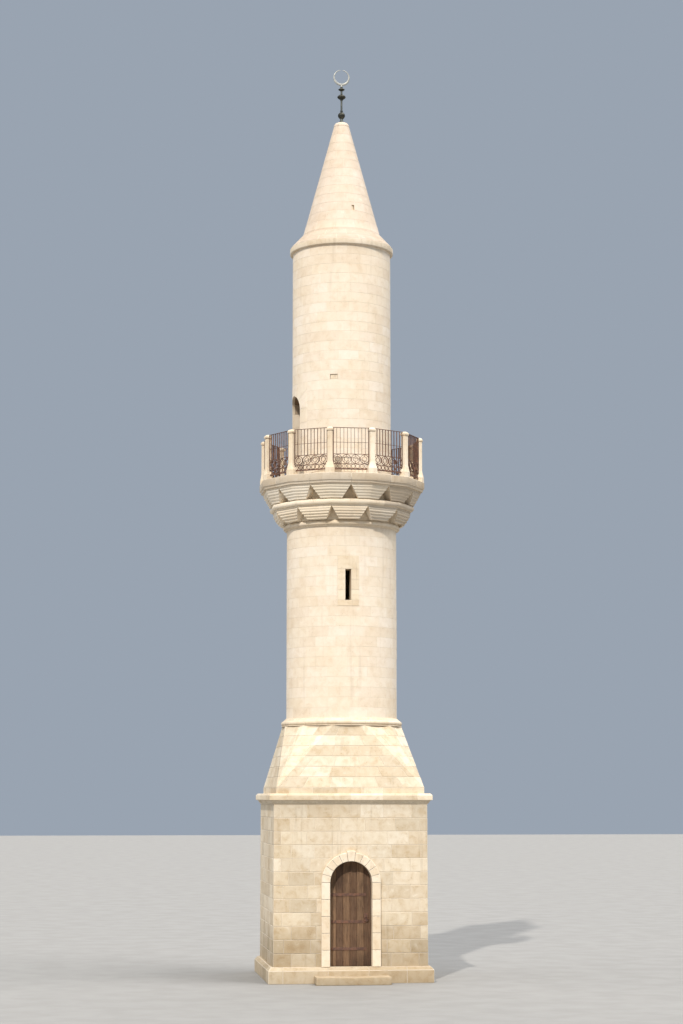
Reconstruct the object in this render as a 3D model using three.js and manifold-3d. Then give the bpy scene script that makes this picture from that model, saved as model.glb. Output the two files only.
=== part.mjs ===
// A limestone minaret: square base, round shaft, corbelled balcony with an iron railing,
// upper drum with a doorway, stone cone roof and metal finial.
// Millimetres, +Z up, origin at the centre of the base's underside, entrance towards -Y.
// A direction round the tower is an angle in degrees, 0 at -Y and 90 at +X.

import * as THREE from 'three';
import { mergeVertices } from 'three/addons/utils/BufferGeometryUtils.js';
import { ConvexGeometry } from 'three/addons/geometries/ConvexGeometry.js';
import Module from 'manifold-3d';

const wasm = await Module();
wasm.setup();

// Driving dimensions
const GAP = 0.3;
const ROUND = 48;
const SIDES = 12;
const STEP_ANGLE = 360 / SIDES;
const CORNER_ANGLE = STEP_ANGLE / 2;

// Square base
const PLINTH = { width: 3100, height: 300, chamfer: 60 };
const BASE = { width: 2900, wall: 450, top: 3300 };
const BASE_CORNICE = { height: 200, overhang: 90 };
const TRANSITION = { width: 2800, upright: 120, top: 4800 };

// Entrance
const ENTRANCE = { width: 800, spring: 1850, surround: 160, proud: 60 };
const LEAF = { thickness: 60, setback: 150, clearance: 4 };
const ENTRANCE_STEP = { width: 1400, depth: 380, height: 150 };

// Lower shaft
const SHAFT = { outer: 1080, inner: 780, bottom: 4950, top: 8640 };
const SHAFT_RING_BULGE = 90;
const NECK = { top: 8760, bulge: 70 };
const SLIT = { width: 120, height: 600 };
const SLIT_SILLS = { front: 7200, right: 6300, back: 5500 };

// Balcony, its courses from the top down
const FLOOR_TOP = 9600;
const SLAB = { corner: 1650, fillet: 80, thickness: 185, under: 1590 };
const UPPER_TIER = { top: FLOOR_TOP - SLAB.thickness, bottom: 9135 };
const BAND = { bottom: 9030, radius: 1440 };
const LOWER_TIER = { top: BAND.bottom, bottom: NECK.top };
const UPPER_RECESS = { width: 320, back: 1230, apexDrop: 20 };
const LOWER_RECESS = { width: 250, back: 1110, apexDrop: 30 };
const STAIRWELL = { radius: 700, newel: 130, side: 10 };

// Balcony railing
const POST = { radius: 1560, width: 100, height: 900, cap: 124, capHeight: 40, point: 26 };
const POST_FOOT = { half: 88, rise: 110, height: 230, inside: 1490 };
const RAIL = { thickness: 24, bar: 18, clear: 70, rail: 32, openings: 6 };
const RAIL_LEVELS = [0, 300, 530, 830];

// Upper drum
const DRUM = { outer: 978, inner: 760, height: 4660 };
const DOORWAY = { side: -82, width: 620, height: 1735 };
const DRUM_TOP = FLOOR_TOP + DRUM.height;
const EAVE = { radius: 1032, height: 110 };

// Small holes where single stones or scaffold timbers are missing
const DRUM_HOLE = { side: -15.8, width: 150, height: 92, depth: 110, middle: FLOOR_TOP + 2000 };
const ROOF_HOLE = { side: 13.8, width: 52, height: 104, depth: 90, middle: FLOOR_TOP + 5500, radius: 655 };

// Cone roof
const CONE = { bottom: DRUM_TOP + EAVE.height, top: 17030, foot: 770, tip: 148, wall: 180 };
const CONE_FOOT_TOP = FLOOR_TOP + 5060;

// Finial, heights above the cone's tip
const ROD = { radius: 22, collar: 58 };
const LOWER_BALL = { at: 160, radius: 72, half: 72 };
const MIDDLE_BALL = { at: 550, radius: 85, half: 55 };
const UPPER_BALL = { at: 710, radius: 65, half: 30 };
const CRESCENT = { at: 970, outer: 185, inner: 146, lift: 22, thickness: 26, stem: 20, mouth: 9 };

// Materials
const stone = (color) => new THREE.MeshStandardMaterial({ color, roughness: 0.92, metalness: 0 });
const wallStone = stone(0xefe0c6);
const bandStone = stone(0xe6d6ba);
const baseStone = stone(0xd9c8ab);
const iron = new THREE.MeshStandardMaterial({ color: 0x5a3b30, roughness: 0.7, metalness: 0.6 });
const copper = new THREE.MeshStandardMaterial({ color: 0x3d3f36, roughness: 0.5, metalness: 0.9 });
const timber = new THREE.MeshStandardMaterial({ color: 0x5b4331, roughness: 0.8, metalness: 0 });

const minaret = new THREE.Group();

const radians = THREE.MathUtils.degToRad;
const polar = (side) => radians(side - 90);

function closed(geometry) {
  const bare = geometry.index ? geometry.toNonIndexed() : geometry.clone();
  for (const name of Object.keys(bare.attributes)) {
    if (name !== 'position') bare.deleteAttribute(name);
  }
  const merged = mergeVertices(bare, 1e-3);
  const index = merged.index.array;
  const kept = [];
  for (let i = 0; i < index.length; i += 3) {
    const [a, b, c] = index.subarray(i, i + 3);
    if (a !== b && b !== c && c !== a) kept.push(a, b, c);
  }
  merged.setIndex(kept);
  return merged;
}

function toSolid(geometry) {
  const merged = closed(geometry);
  return new wasm.Manifold(new wasm.Mesh({
    numProp: 3,
    vertProperties: new Float32Array(merged.attributes.position.array),
    triVerts: new Uint32Array(merged.index.array),
  }));
}

function toGeometry(solid) {
  const mesh = solid.getMesh();
  const geometry = new THREE.BufferGeometry();
  geometry.setAttribute('position', new THREE.BufferAttribute(mesh.vertProperties, 3));
  geometry.setIndex(new THREE.BufferAttribute(mesh.triVerts, 1));
  return geometry;
}

function cut(geometry, tools) {
  const solids = tools.map(toSolid);
  return toGeometry(solids.reduce((body, tool) => body.subtract(tool), toSolid(geometry)));
}

const join = (a, b) => toGeometry(toSolid(a).add(toSolid(b)));
const overlap = (a, b) => toGeometry(toSolid(a).intersect(toSolid(b)));

// A turned shape from [radius, height] points, going up the outside
function turned(profile, segments = ROUND, start = 0) {
  const points = profile.map(([r, z]) => new THREE.Vector2(r, z));
  return new THREE.LatheGeometry(points, segments, radians(start)).rotateX(Math.PI / 2);
}

// A square or other many-sided moulding, its radii measured to the flat sides
function moulding(profile, sides) {
  const toCorner = 1 / Math.cos(Math.PI / sides);
  return turned(profile.map(([r, z]) => [r * toCorner, z]), sides, 180 / sides);
}

function box(width, depth, bottom, top) {
  return new THREE.BoxGeometry(width, depth, top - bottom).translate(0, 0, (bottom + top) / 2);
}

function extruded(shape, from, to, segments = 24) {
  const options = { depth: to - from, bevelEnabled: false, curveSegments: segments };
  return new THREE.ExtrudeGeometry(shape, options).translate(0, 0, from);
}

// The angle that a joint between two stones takes up at a radius
const jointAngle = (radius) => THREE.MathUtils.radToDeg(GAP / radius);

// A round wall between two directions
function arcWall(inner, outer, bottom, top, from, to) {
  const shape = new THREE.Shape();
  shape.absarc(0, 0, outer, polar(from), polar(to), false);
  shape.absarc(0, 0, inner, polar(to), polar(from), true);
  return extruded(shape, bottom, top, Math.round((to - from) / 360 * ROUND));
}

// The outline of an arched opening, drawn upright with its sill at height 0
function archShape(half, spring, margin = 0) {
  const shape = new THREE.Shape();
  shape.moveTo(-half - margin, 0);
  shape.lineTo(half + margin, 0);
  shape.absarc(0, spring, half + margin, 0, Math.PI, false);
  return shape;
}

// An upright outline pushed from the y of its back face towards -Y
function standing(shape, back, thickness, sill) {
  return extruded(shape, 0, thickness, 16).rotateX(Math.PI / 2).translate(0, back, sill);
}

function add(name, geometry, material, side = 0) {
  const mesh = new THREE.Mesh(closed(geometry), material);
  mesh.name = name;
  mesh.rotation.z = radians(side);
  minaret.add(mesh);
  return mesh;
}

const twoDigits = (n) => String(n).padStart(2, '0');

function addBase() {
  const half = PLINTH.width / 2;
  const inset = PLINTH.chamfer;
  add('plinth', moulding([
    [0, 0],
    [half, 0],
    [half, PLINTH.height - inset],
    [half - inset, PLINTH.height],
    [0, PLINTH.height],
  ], 4), baseStone);

  const outer = BASE.width / 2;
  const middle = outer - BASE.wall / 2;
  const between = BASE.width - 2 * BASE.wall - 2 * GAP;
  const sideWall = () => box(BASE.wall, BASE.width, PLINTH.height, BASE.top);
  add('base_wall_left', sideWall().translate(-middle, 0, 0), baseStone);
  add('base_wall_right', sideWall().translate(middle, 0, 0), baseStone);
  add('base_wall_back', box(between, BASE.wall, PLINTH.height, BASE.top).translate(0, middle, 0), baseStone);

  const pierWidth = (between - ENTRANCE.width) / 2;
  for (const [name, sign] of [['left', -1], ['right', 1]]) {
    const pier = box(pierWidth, BASE.wall, PLINTH.height, BASE.top);
    pier.translate(sign * (ENTRANCE.width + pierWidth) / 2, -middle, 0);
    add(`base_wall_front_${name}`, pier, baseStone);
  }
  const lintel = box(ENTRANCE.width - 2 * GAP, BASE.wall, ENTRANCE.spring, BASE.top).translate(0, -middle, 0);
  const arch = standing(archShape(ENTRANCE.width / 2, ENTRANCE.spring), 0, 2 * outer, 0);
  add('base_wall_over_door', cut(lintel, [arch]), baseStone);

  const edge = outer + BASE_CORNICE.overhang;
  const room = outer - BASE.wall;
  const top = BASE.top + BASE_CORNICE.height;
  add('base_cornice', moulding([
    [room, BASE.top],
    [outer, BASE.top],
    [outer + 30, BASE.top + 30],
    [edge - 20, BASE.top + 90],
    [edge, BASE.top + 100],
    [edge, top - 30],
    [edge - 30, top],
    [room, top],
    [room, BASE.top],
  ], 4), baseStone);
}

function addEntrance() {
  const outer = BASE.width / 2;
  const spring = ENTRANCE.spring - PLINTH.height;
  const half = ENTRANCE.width / 2;
  const frame = standing(archShape(half, spring, ENTRANCE.surround), -outer, ENTRANCE.proud, PLINTH.height);
  const doorway = standing(archShape(half, spring + 40), 0, 2 * outer, PLINTH.height - 40);
  add('entrance_surround', cut(frame, [doorway]), bandStone);
  const leafBack = -outer + LEAF.setback + LEAF.thickness;
  const outline = archShape(half - LEAF.clearance, spring);
  const leaf = standing(outline, leafBack, LEAF.thickness, PLINTH.height + GAP);
  add('entrance_door', leaf, timber);
  const step = box(ENTRANCE_STEP.width, ENTRANCE_STEP.depth, 0, ENTRANCE_STEP.height);
  step.translate(0, -PLINTH.width / 2 - GAP - ENTRANCE_STEP.depth / 2, 0);
  add('entrance_step', step, baseStone);
}

// The sloping mass that carries the round shaft on the square base
function addTransition() {
  const bottom = BASE.top + BASE_CORNICE.height;
  const half = TRANSITION.width / 2;
  const points = [];
  for (const x of [-half, half]) {
    for (const y of [-half, half]) {
      points.push(new THREE.Vector3(x, y, bottom), new THREE.Vector3(x, y, bottom + TRANSITION.upright));
    }
  }
  const shoulder = SHAFT.outer + SHAFT_RING_BULGE;
  for (let i = 0; i < SIDES; i++) {
    const angle = polar(CORNER_ANGLE + i * STEP_ANGLE);
    points.push(new THREE.Vector3(shoulder * Math.cos(angle), shoulder * Math.sin(angle), TRANSITION.top));
  }
  add('transition', cut(new ConvexGeometry(points), [well(bottom, TRANSITION.top)]), wallStone);
}

// The round stair shaft through a piece, cut past both its faces
function well(bottom, top) {
  const low = bottom - 50;
  const high = top + 50;
  return turned([[0, low], [SHAFT.inner, low], [SHAFT.inner, high], [0, high]]);
}

function addShaft() {
  const { inner, outer } = SHAFT;
  const ring = outer + SHAFT_RING_BULGE;
  const waist = (TRANSITION.top + SHAFT.bottom) / 2;
  add('shaft_ring', turned([
    [inner, TRANSITION.top],
    [ring - 20, TRANSITION.top],
    [ring, waist - 30],
    [ring, waist + 10],
    [outer + 50, SHAFT.bottom - 30],
    [outer + 10, SHAFT.bottom],
    [inner, SHAFT.bottom],
    [inner, TRANSITION.top],
  ]), bandStone);

  const half = 45 - jointAngle(inner) / 2;
  const slit = (sill) => box(SLIT.width, outer, sill, sill + SLIT.height).translate(0, -outer, 0);
  const sill = SLIT_SILLS.front;
  const head = sill + SLIT.height;
  add('shaft_wall_front_lower', arcWall(inner, outer, SHAFT.bottom, sill, -half, half), wallStone);
  add('shaft_wall_front_upper', arcWall(inner, outer, head, SHAFT.top, -half, half), wallStone);
  for (const [name, from] of [['left', -half], ['right', 0]]) {
    const pier = arcWall(inner, outer, sill, head, from, from + half);
    add(`shaft_wall_slit_${name}`, cut(pier, [slit(sill)]), wallStone);
  }
  ['right', 'back'].forEach((name, i) => {
    const wall = arcWall(inner, outer, SHAFT.bottom, SHAFT.top, -half, half);
    add(`shaft_wall_${name}`, cut(wall, [slit(SLIT_SILLS[name])]), wallStone, 90 + 90 * i);
  });
  add('shaft_wall_left', arcWall(inner, outer, SHAFT.bottom, SHAFT.top, -half, half), wallStone, -90);

  add('neck_ring', turned([
    [inner, SHAFT.top],
    [outer + 10, SHAFT.top],
    [outer + 45, SHAFT.top + 15],
    [outer + NECK.bulge, (SHAFT.top + NECK.top) / 2],
    [outer + 45, NECK.top - 15],
    [outer + 20, NECK.top],
    [inner, NECK.top],
    [inner, SHAFT.top],
  ]), bandStone);
}

// A twelve-sided course with its corners below the posts, open for the stair
function corbelCourse(profile, bottom, top) {
  return cut(turned(profile, SIDES, CORNER_ANGLE), [well(bottom, top)]);
}

// The pointed recesses that part a course into brackets, their tips up
function bracketRecesses(recess, { bottom, top }, firstSide) {
  const half = recess.width / 2;
  const outline = new THREE.Shape([
    new THREE.Vector2(-half, -50),
    new THREE.Vector2(half, -50),
    new THREE.Vector2(half, 0),
    new THREE.Vector2(0, top - bottom - recess.apexDrop),
    new THREE.Vector2(-half, 0),
  ]);
  const tools = [];
  for (let i = 0; i < SIDES; i++) {
    const tool = standing(outline, -recess.back, SLAB.corner - recess.back, bottom);
    tools.push(tool.rotateZ(radians(firstSide + i * STEP_ANGLE)));
  }
  return tools;
}

function addCorbel() {
  const low = LOWER_TIER.bottom;
  const lowerTier = corbelCourse([
    [0, low],
    [1160, low],
    [1185, low + 20],
    [1290, low + 120],
    [1360, low + 215],
    [1372, LOWER_TIER.top],
    [0, LOWER_TIER.top],
  ], low, LOWER_TIER.top);
  add('corbel_lower', cut(lowerTier, bracketRecesses(LOWER_RECESS, LOWER_TIER, CORNER_ANGLE)), bandStone);

  add('corbel_band', corbelCourse([
    [0, BAND.bottom],
    [BAND.radius - 40, BAND.bottom],
    [BAND.radius - 8, BAND.bottom + 20],
    [BAND.radius, (BAND.bottom + UPPER_TIER.bottom) / 2],
    [BAND.radius - 8, UPPER_TIER.bottom - 20],
    [BAND.radius - 40, UPPER_TIER.bottom],
    [0, UPPER_TIER.bottom],
  ], BAND.bottom, UPPER_TIER.bottom), bandStone);

  const foot = UPPER_TIER.bottom;
  const upperTier = corbelCourse([
    [0, foot],
    [1410, foot],
    [1430, foot + 5],
    [1507, foot + 135],
    [1565, foot + 235],
    [1578, UPPER_TIER.top],
    [0, UPPER_TIER.top],
  ], foot, UPPER_TIER.top);
  add('corbel_brackets', cut(upperTier, bracketRecesses(UPPER_RECESS, UPPER_TIER, 0)), bandStone);

  const underside = FLOOR_TOP - SLAB.thickness;
  const slab = turned([
    [0, underside],
    [SLAB.under, underside],
    [SLAB.under + 25, underside + 55],
    [SLAB.corner, FLOOR_TOP - SLAB.fillet],
    [SLAB.corner, FLOOR_TOP],
    [0, FLOOR_TOP],
  ], SIDES, CORNER_ANGLE);
  const from = polar(STAIRWELL.side);
  const opening = new THREE.Shape();
  opening.absarc(0, 0, STAIRWELL.radius, from, from + Math.PI, false);
  opening.absarc(0, 0, STAIRWELL.newel, from + Math.PI, from, true);
  const stairwell = extruded(opening, underside - 50, FLOOR_TOP + 50);
  add('balcony_floor', cut(slab, [stairwell]), bandStone);
}

// A post's spreading foot, its front following the slab's corner
function postFoot(margin = 0) {
  const slope = Math.tan(radians(CORNER_ANGLE));
  const base = POST_FOOT.half + margin;
  const front = SLAB.corner - 1 + margin;
  const points = [];
  for (const z of [0, POST_FOOT.rise + margin]) {
    points.push(new THREE.Vector3(0, -front, z));
    for (const x of [-base, base]) {
      points.push(new THREE.Vector3(x, -front + POST_FOOT.half * slope, z));
      points.push(new THREE.Vector3(x, -POST_FOOT.inside + margin, z));
    }
  }
  const half = POST.width / 2 + margin;
  for (const x of [-half, half]) {
    for (const y of [-half, half]) {
      points.push(new THREE.Vector3(x, y - POST.radius, POST_FOOT.height + margin));
    }
  }
  return new ConvexGeometry(points).translate(0, 0, FLOOR_TOP);
}

function postGeometry(margin = 0) {
  const half = POST.width / 2 + margin;
  const cap = POST.cap / 2 + margin;
  const capBottom = POST.height - POST.capHeight - POST.point - margin;
  const upright = moulding([
    [0, POST_FOOT.rise],
    [half, POST_FOOT.rise],
    [half, capBottom],
    [cap, capBottom + 8],
    [cap, POST.height - POST.point + margin],
    [half * 0.6, POST.height + margin],
    [0, POST.height + margin],
  ], 4).translate(0, -POST.radius, FLOOR_TOP);
  return join(postFoot(margin), upright);
}

// A flat lattice between two posts: three bands of upright bars between flat rails
function railingGeometry() {
  const corner = radians(CORNER_ANGLE);
  const end = POST.width / 2 / Math.cos(corner) + Math.tan(corner) * RAIL.thickness / 2 + GAP;
  const length = 2 * (POST.radius * Math.sin(corner) - end);
  const pitch = length / RAIL.openings;
  const top = RAIL_LEVELS.at(-1);
  const holes = [];
  for (let row = 0; row < RAIL_LEVELS.length - 1; row++) {
    const low = RAIL_LEVELS[row] + (row === 0 ? RAIL.rail : RAIL.bar / 2);
    const high = RAIL_LEVELS[row + 1] - (RAIL_LEVELS[row + 1] === top ? RAIL.rail : RAIL.bar / 2);
    for (let column = 0; column < RAIL.openings; column++) {
      const hole = box(pitch - RAIL.bar, 2 * RAIL.thickness, low, high);
      holes.push(hole.translate((column + 0.5) * pitch - length / 2, 0, 0));
    }
  }
  const lattice = cut(box(length, RAIL.thickness, 0, top), holes);
  lattice.translate(0, -POST.radius * Math.cos(corner), FLOOR_TOP + RAIL.clear);
  const posts = [-corner, corner].map((angle) => postGeometry(GAP).rotateZ(angle));
  return cut(lattice, posts);
}

function addBalustrade() {
  for (let i = 0; i < SIDES; i++) {
    const number = twoDigits(i + 1);
    add(`balcony_post_${number}`, postGeometry(), wallStone, CORNER_ANGLE + i * STEP_ANGLE);
    add(`railing_panel_${number}`, railingGeometry(), iron, i * STEP_ANGLE);
  }
}

// The block that a small hole takes out of a round face
function pocket({ side, width, height, depth, middle }, radius) {
  const tool = box(width, 2 * depth, middle - height / 2, middle + height / 2);
  return tool.translate(0, -radius, 0).rotateZ(radians(side));
}

function addDrum() {
  const { inner, outer } = DRUM;
  const { side, width, height } = DOORWAY;
  const half = width / 2;
  const spring = FLOOR_TOP + height - half;
  const opening = box(width, outer, FLOOR_TOP - 50, DRUM_TOP + 50).translate(0, -outer, 0);
  const hole = pocket(DRUM_HOLE, outer).rotateZ(radians(-side));
  const third = 120 - jointAngle(inner);
  ['front', 'right', 'back'].forEach((name, i) => {
    const wall = arcWall(inner, outer, FLOOR_TOP, DRUM_TOP, i * 120, i * 120 + third);
    const tools = name === 'front' ? [opening, hole] : [opening];
    add(`drum_wall_${name}`, cut(wall, tools), wallStone, side);
  });

  const lintel = arcWall(inner, outer, spring, DRUM_TOP, -CORNER_ANGLE * 2, CORNER_ANGLE * 2);
  const column = box(width - 2 * GAP, outer, spring - 50, DRUM_TOP + 50).translate(0, -outer, 0);
  const arch = standing(archShape(half, spring - FLOOR_TOP), 0, 2 * outer, FLOOR_TOP);
  add('drum_wall_over_door', cut(overlap(lintel, column), [arch]), wallStone, side);

  add('drum_cornice', turned([
    [inner, DRUM_TOP],
    [EAVE.radius - 14, DRUM_TOP],
    [EAVE.radius, DRUM_TOP + 14],
    [EAVE.radius, DRUM_TOP + EAVE.height],
    [inner, DRUM_TOP + EAVE.height],
    [inner, DRUM_TOP],
  ]), bandStone);
}

// A hollow stone cone with a flared foot and a blunt tip
function addRoof() {
  const { bottom, foot, top, tip, wall } = CONE;
  const shell = turned([
    [0, top - 700],
    [foot - wall, CONE_FOOT_TOP],
    [DRUM.inner, bottom],
    [EAVE.radius, bottom],
    [1000, bottom + 40],
    [934, bottom + 110],
    [817, bottom + 235],
    [foot, CONE_FOOT_TOP],
    [tip, top - 70],
    [tip * 0.8, top - 22],
    [ROD.collar, top],
    [0, top],
  ]);
  add('cone_roof', cut(shell, [pocket(ROOF_HOLE, ROOF_HOLE.radius)]), wallStone);
}

// A metal ball threaded on the finial's rod
function ball({ at, radius, half }) {
  const bore = ROD.radius + GAP;
  const steps = 8;
  const profile = [];
  const end = Math.asin(Math.sqrt(1 - (bore / radius) ** 2));
  for (let i = 0; i <= steps; i++) {
    const angle = -end + 2 * end * i / steps;
    profile.push([radius * Math.cos(angle), half * Math.sin(angle)]);
  }
  profile[0][0] = bore;
  profile[steps][0] = bore;
  profile.push(profile[0]);
  return turned(profile, 20).translate(0, 0, CONE.top + at);
}

function addFinial() {
  const foot = CRESCENT.at - CRESCENT.outer - CRESCENT.stem;
  const { radius, collar } = ROD;
  const neck = LOWER_BALL.at - LOWER_BALL.half;
  add('finial_rod', turned([
    [0, 0],
    [collar, 0],
    [collar * 0.8, 25],
    [radius * 1.3, neck - 6],
    [radius, neck],
    [radius, foot],
    [0, foot],
  ], 24).translate(0, 0, CONE.top), iron);

  add('finial_ball_lower', ball(LOWER_BALL), copper);
  add('finial_ball_middle', ball(MIDDLE_BALL), copper);
  add('finial_ball_upper', ball(UPPER_BALL), copper);

  const { outer, inner, lift, stem, thickness, mouth } = CRESCENT;
  const start = radians(-90) + Math.asin(stem / outer);
  const horn = radians(90 - mouth);
  const shape = new THREE.Shape();
  shape.moveTo(stem, -outer - stem);
  shape.lineTo(stem, -Math.sqrt(outer ** 2 - stem ** 2));
  shape.absarc(0, 0, outer, start, horn, false);
  shape.absarc(0, lift, inner, horn, -Math.PI - horn, true);
  shape.absarc(0, 0, outer, Math.PI - horn, -Math.PI - start, false);
  shape.lineTo(-stem, -outer - stem);
  add('finial_crescent', standing(shape, thickness / 2, thickness, CONE.top + CRESCENT.at), copper);
}

addBase();
addEntrance();
addTransition();
addShaft();
addCorbel();
addBalustrade();
addDrum();
addRoof();
addFinial();

export default minaret;
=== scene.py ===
"""Dresses the minaret: coursed limestone over its walls, a carved balcony corbel, stone posts,
wrought iron panels, a plank door and the metal finial.

Metres, +Z up, entrance towards -Y. A direction round the tower is an angle in degrees,
0 at -Y and 90 at +X.
"""

import math
import random

import bmesh
import bpy
from mathutils import Matrix, Vector


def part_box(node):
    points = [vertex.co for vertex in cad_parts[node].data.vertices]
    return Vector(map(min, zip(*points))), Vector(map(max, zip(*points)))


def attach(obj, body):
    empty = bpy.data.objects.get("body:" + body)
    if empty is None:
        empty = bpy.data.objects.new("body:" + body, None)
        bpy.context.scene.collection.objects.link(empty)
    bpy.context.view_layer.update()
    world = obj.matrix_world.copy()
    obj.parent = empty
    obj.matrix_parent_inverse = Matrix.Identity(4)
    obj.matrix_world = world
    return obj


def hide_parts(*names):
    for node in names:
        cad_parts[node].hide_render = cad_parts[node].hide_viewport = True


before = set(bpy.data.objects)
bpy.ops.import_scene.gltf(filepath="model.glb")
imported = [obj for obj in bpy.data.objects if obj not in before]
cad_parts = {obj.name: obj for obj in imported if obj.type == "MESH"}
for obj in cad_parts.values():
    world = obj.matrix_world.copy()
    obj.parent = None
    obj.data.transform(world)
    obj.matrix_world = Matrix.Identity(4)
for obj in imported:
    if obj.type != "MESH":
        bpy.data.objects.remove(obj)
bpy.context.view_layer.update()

UP = Vector((0, 0, 1))
NOWHERE = Vector((0, 0, 0))

# Stonework: open rough joints on the base, close fine ones on the round walls
JOINT = 0.005
FINE_JOINT = 0.0025
PROUD = 0.007
FINE_PROUD = 0.003
SUNK = 0.012
ARRIS = 0.004
FINE_ARRIS = 0.0018
REVEAL = 0.003
LINING = 0.004

# How unevenly blocks stand out, as a share of their proudness; how short the end one of a
# course may be, as a share of the others; and how near a joint may come to a corner
UNEVEN = 0.17
SHORTEST = 0.35
NEAREST = 0.006

# The angle past which an edge wears, and how close a mitred block's points may come
SHARP = 0.6
TAPER = 0.0015

# Grime and painted shade on stone faces, from none at 0 to most at 1; all but the slab's is painted
# shade
FAINT_PAINTED_SHADE = 0.1
SLAB_GRIME = 0.26
CORBEL_RIGHT_PAINTED_SHADE = 0.4
SKIRT_PAINTED_SHADE = 0.26
ARCH_PAINTED_SHADE = (0.7, 0.95, 0.95, 0.95, 0.7)

# Steps round the mouldings and the close-jointed walls, and the balcony's sides
ROUND = 48
WALL_ROUND = 96
SIDES = 12
SIDE_ANGLE = 360 / SIDES

# Base, measured to its flat sides
PLINTH_HALF = 1.55
PLINTH_TOP = 0.3
BASE_HALF = 1.45
BASE_TOP = 3.3
BASE_COURSES = 12
DAMP_TOP = 0.9
CORNICE_TOP = 3.5
TRANSITION_HALF = 1.4
TRANSITION_FOOT = 3.62
TRANSITION_TOP = 4.8
SHOULDER = 1.17

# Entrance
DOOR_HALF = 0.4
DOOR_SPRING = 1.85
SURROUND = 0.16
SURROUND_PROUD = 0.062
KEYSTONE_PROUD = 0.082
LEAF_FRONT = -1.3
BOARDS = 6
STRAP_MIDDLE = -0.03
STRAP_HEIGHTS = (0.62, 1.12, 1.62)
NAIL_HEIGHTS = (0.4, 0.87, 1.37, 1.83, 2.02)
NAIL_PLACES = (-0.26, -0.13, 0.0, 0.13, 0.26)

# Shaft
SHAFT = 1.08
SHAFT_FOOT = 4.95
SHAFT_TOP = 8.64
SHAFT_COURSES = 19
SHAFT_SEAM = -45
NECK_TOP = 8.76
SLIT_HALF = 0.06
SLIT_HEIGHT = 0.6
SLIT_FRAME = 0.15
SLIT_DEPTH = 0.29
SLIT_PROUD = 0.008
SLITS = {0: 7.2, 90: 6.3, 180: 5.5}

# Balcony, measured to the corners of its twelve sides
FLOOR = 9.6
TIER_TOP = 9.415
TIER_FOOT = 9.135
BAND_FOOT = 9.03
TO_SIDE = math.cos(math.pi / SIDES)
TILT = math.tan(math.pi / SIDES)
SLAB_CORNER = 1.65
PAVING_EDGE = 1.43
POST_RADIUS = 1.56
PANEL_HALF = 0.3475
PANEL_FOOT = 0.07
PANEL_RINGS = 4
PANEL_BARS = 10

# Drum and roof
DRUM = 0.978
DRUM_TOP = 14.26
DRUM_COURSES = 24
DOORWAY_SIDE = -82
DOORWAY_HALF = 0.31
DOORWAY_FRAME = 0.2
DOORWAY_DEPTH = 0.215
DOORWAY_PROUD = 0.005
DOORWAY_SPRING = FLOOR + 1.425
DRUM_HOLE_SIDE = -15.8
DRUM_HOLE_HEIGHT = 11.6
EAVE_TOP = 14.37
CONE_FOOT = 14.66
CONE_FOOT_RADIUS = 0.77
CONE_COURSES_FOOT = 14.84
CONE_COURSES_TOP = 16.94
CONE_SLOPE = (CONE_FOOT_RADIUS - 0.148) / (16.96 - CONE_FOOT)
CONE_TIP = 17.03
ROOF_HOLE_SIDE = 13.8
ROOF_HOLE_HEIGHT = 15.1


def srgb(red, green, blue):
    """A colour given as it looks on a screen, 0 to 255."""
    def linear(value):
        part = value / 255
        return part / 12.92 if part <= 0.04045 else ((part + 0.055) / 1.055) ** 2.4

    return (linear(red), linear(green), linear(blue), 1.0)


# Finishes

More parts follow.
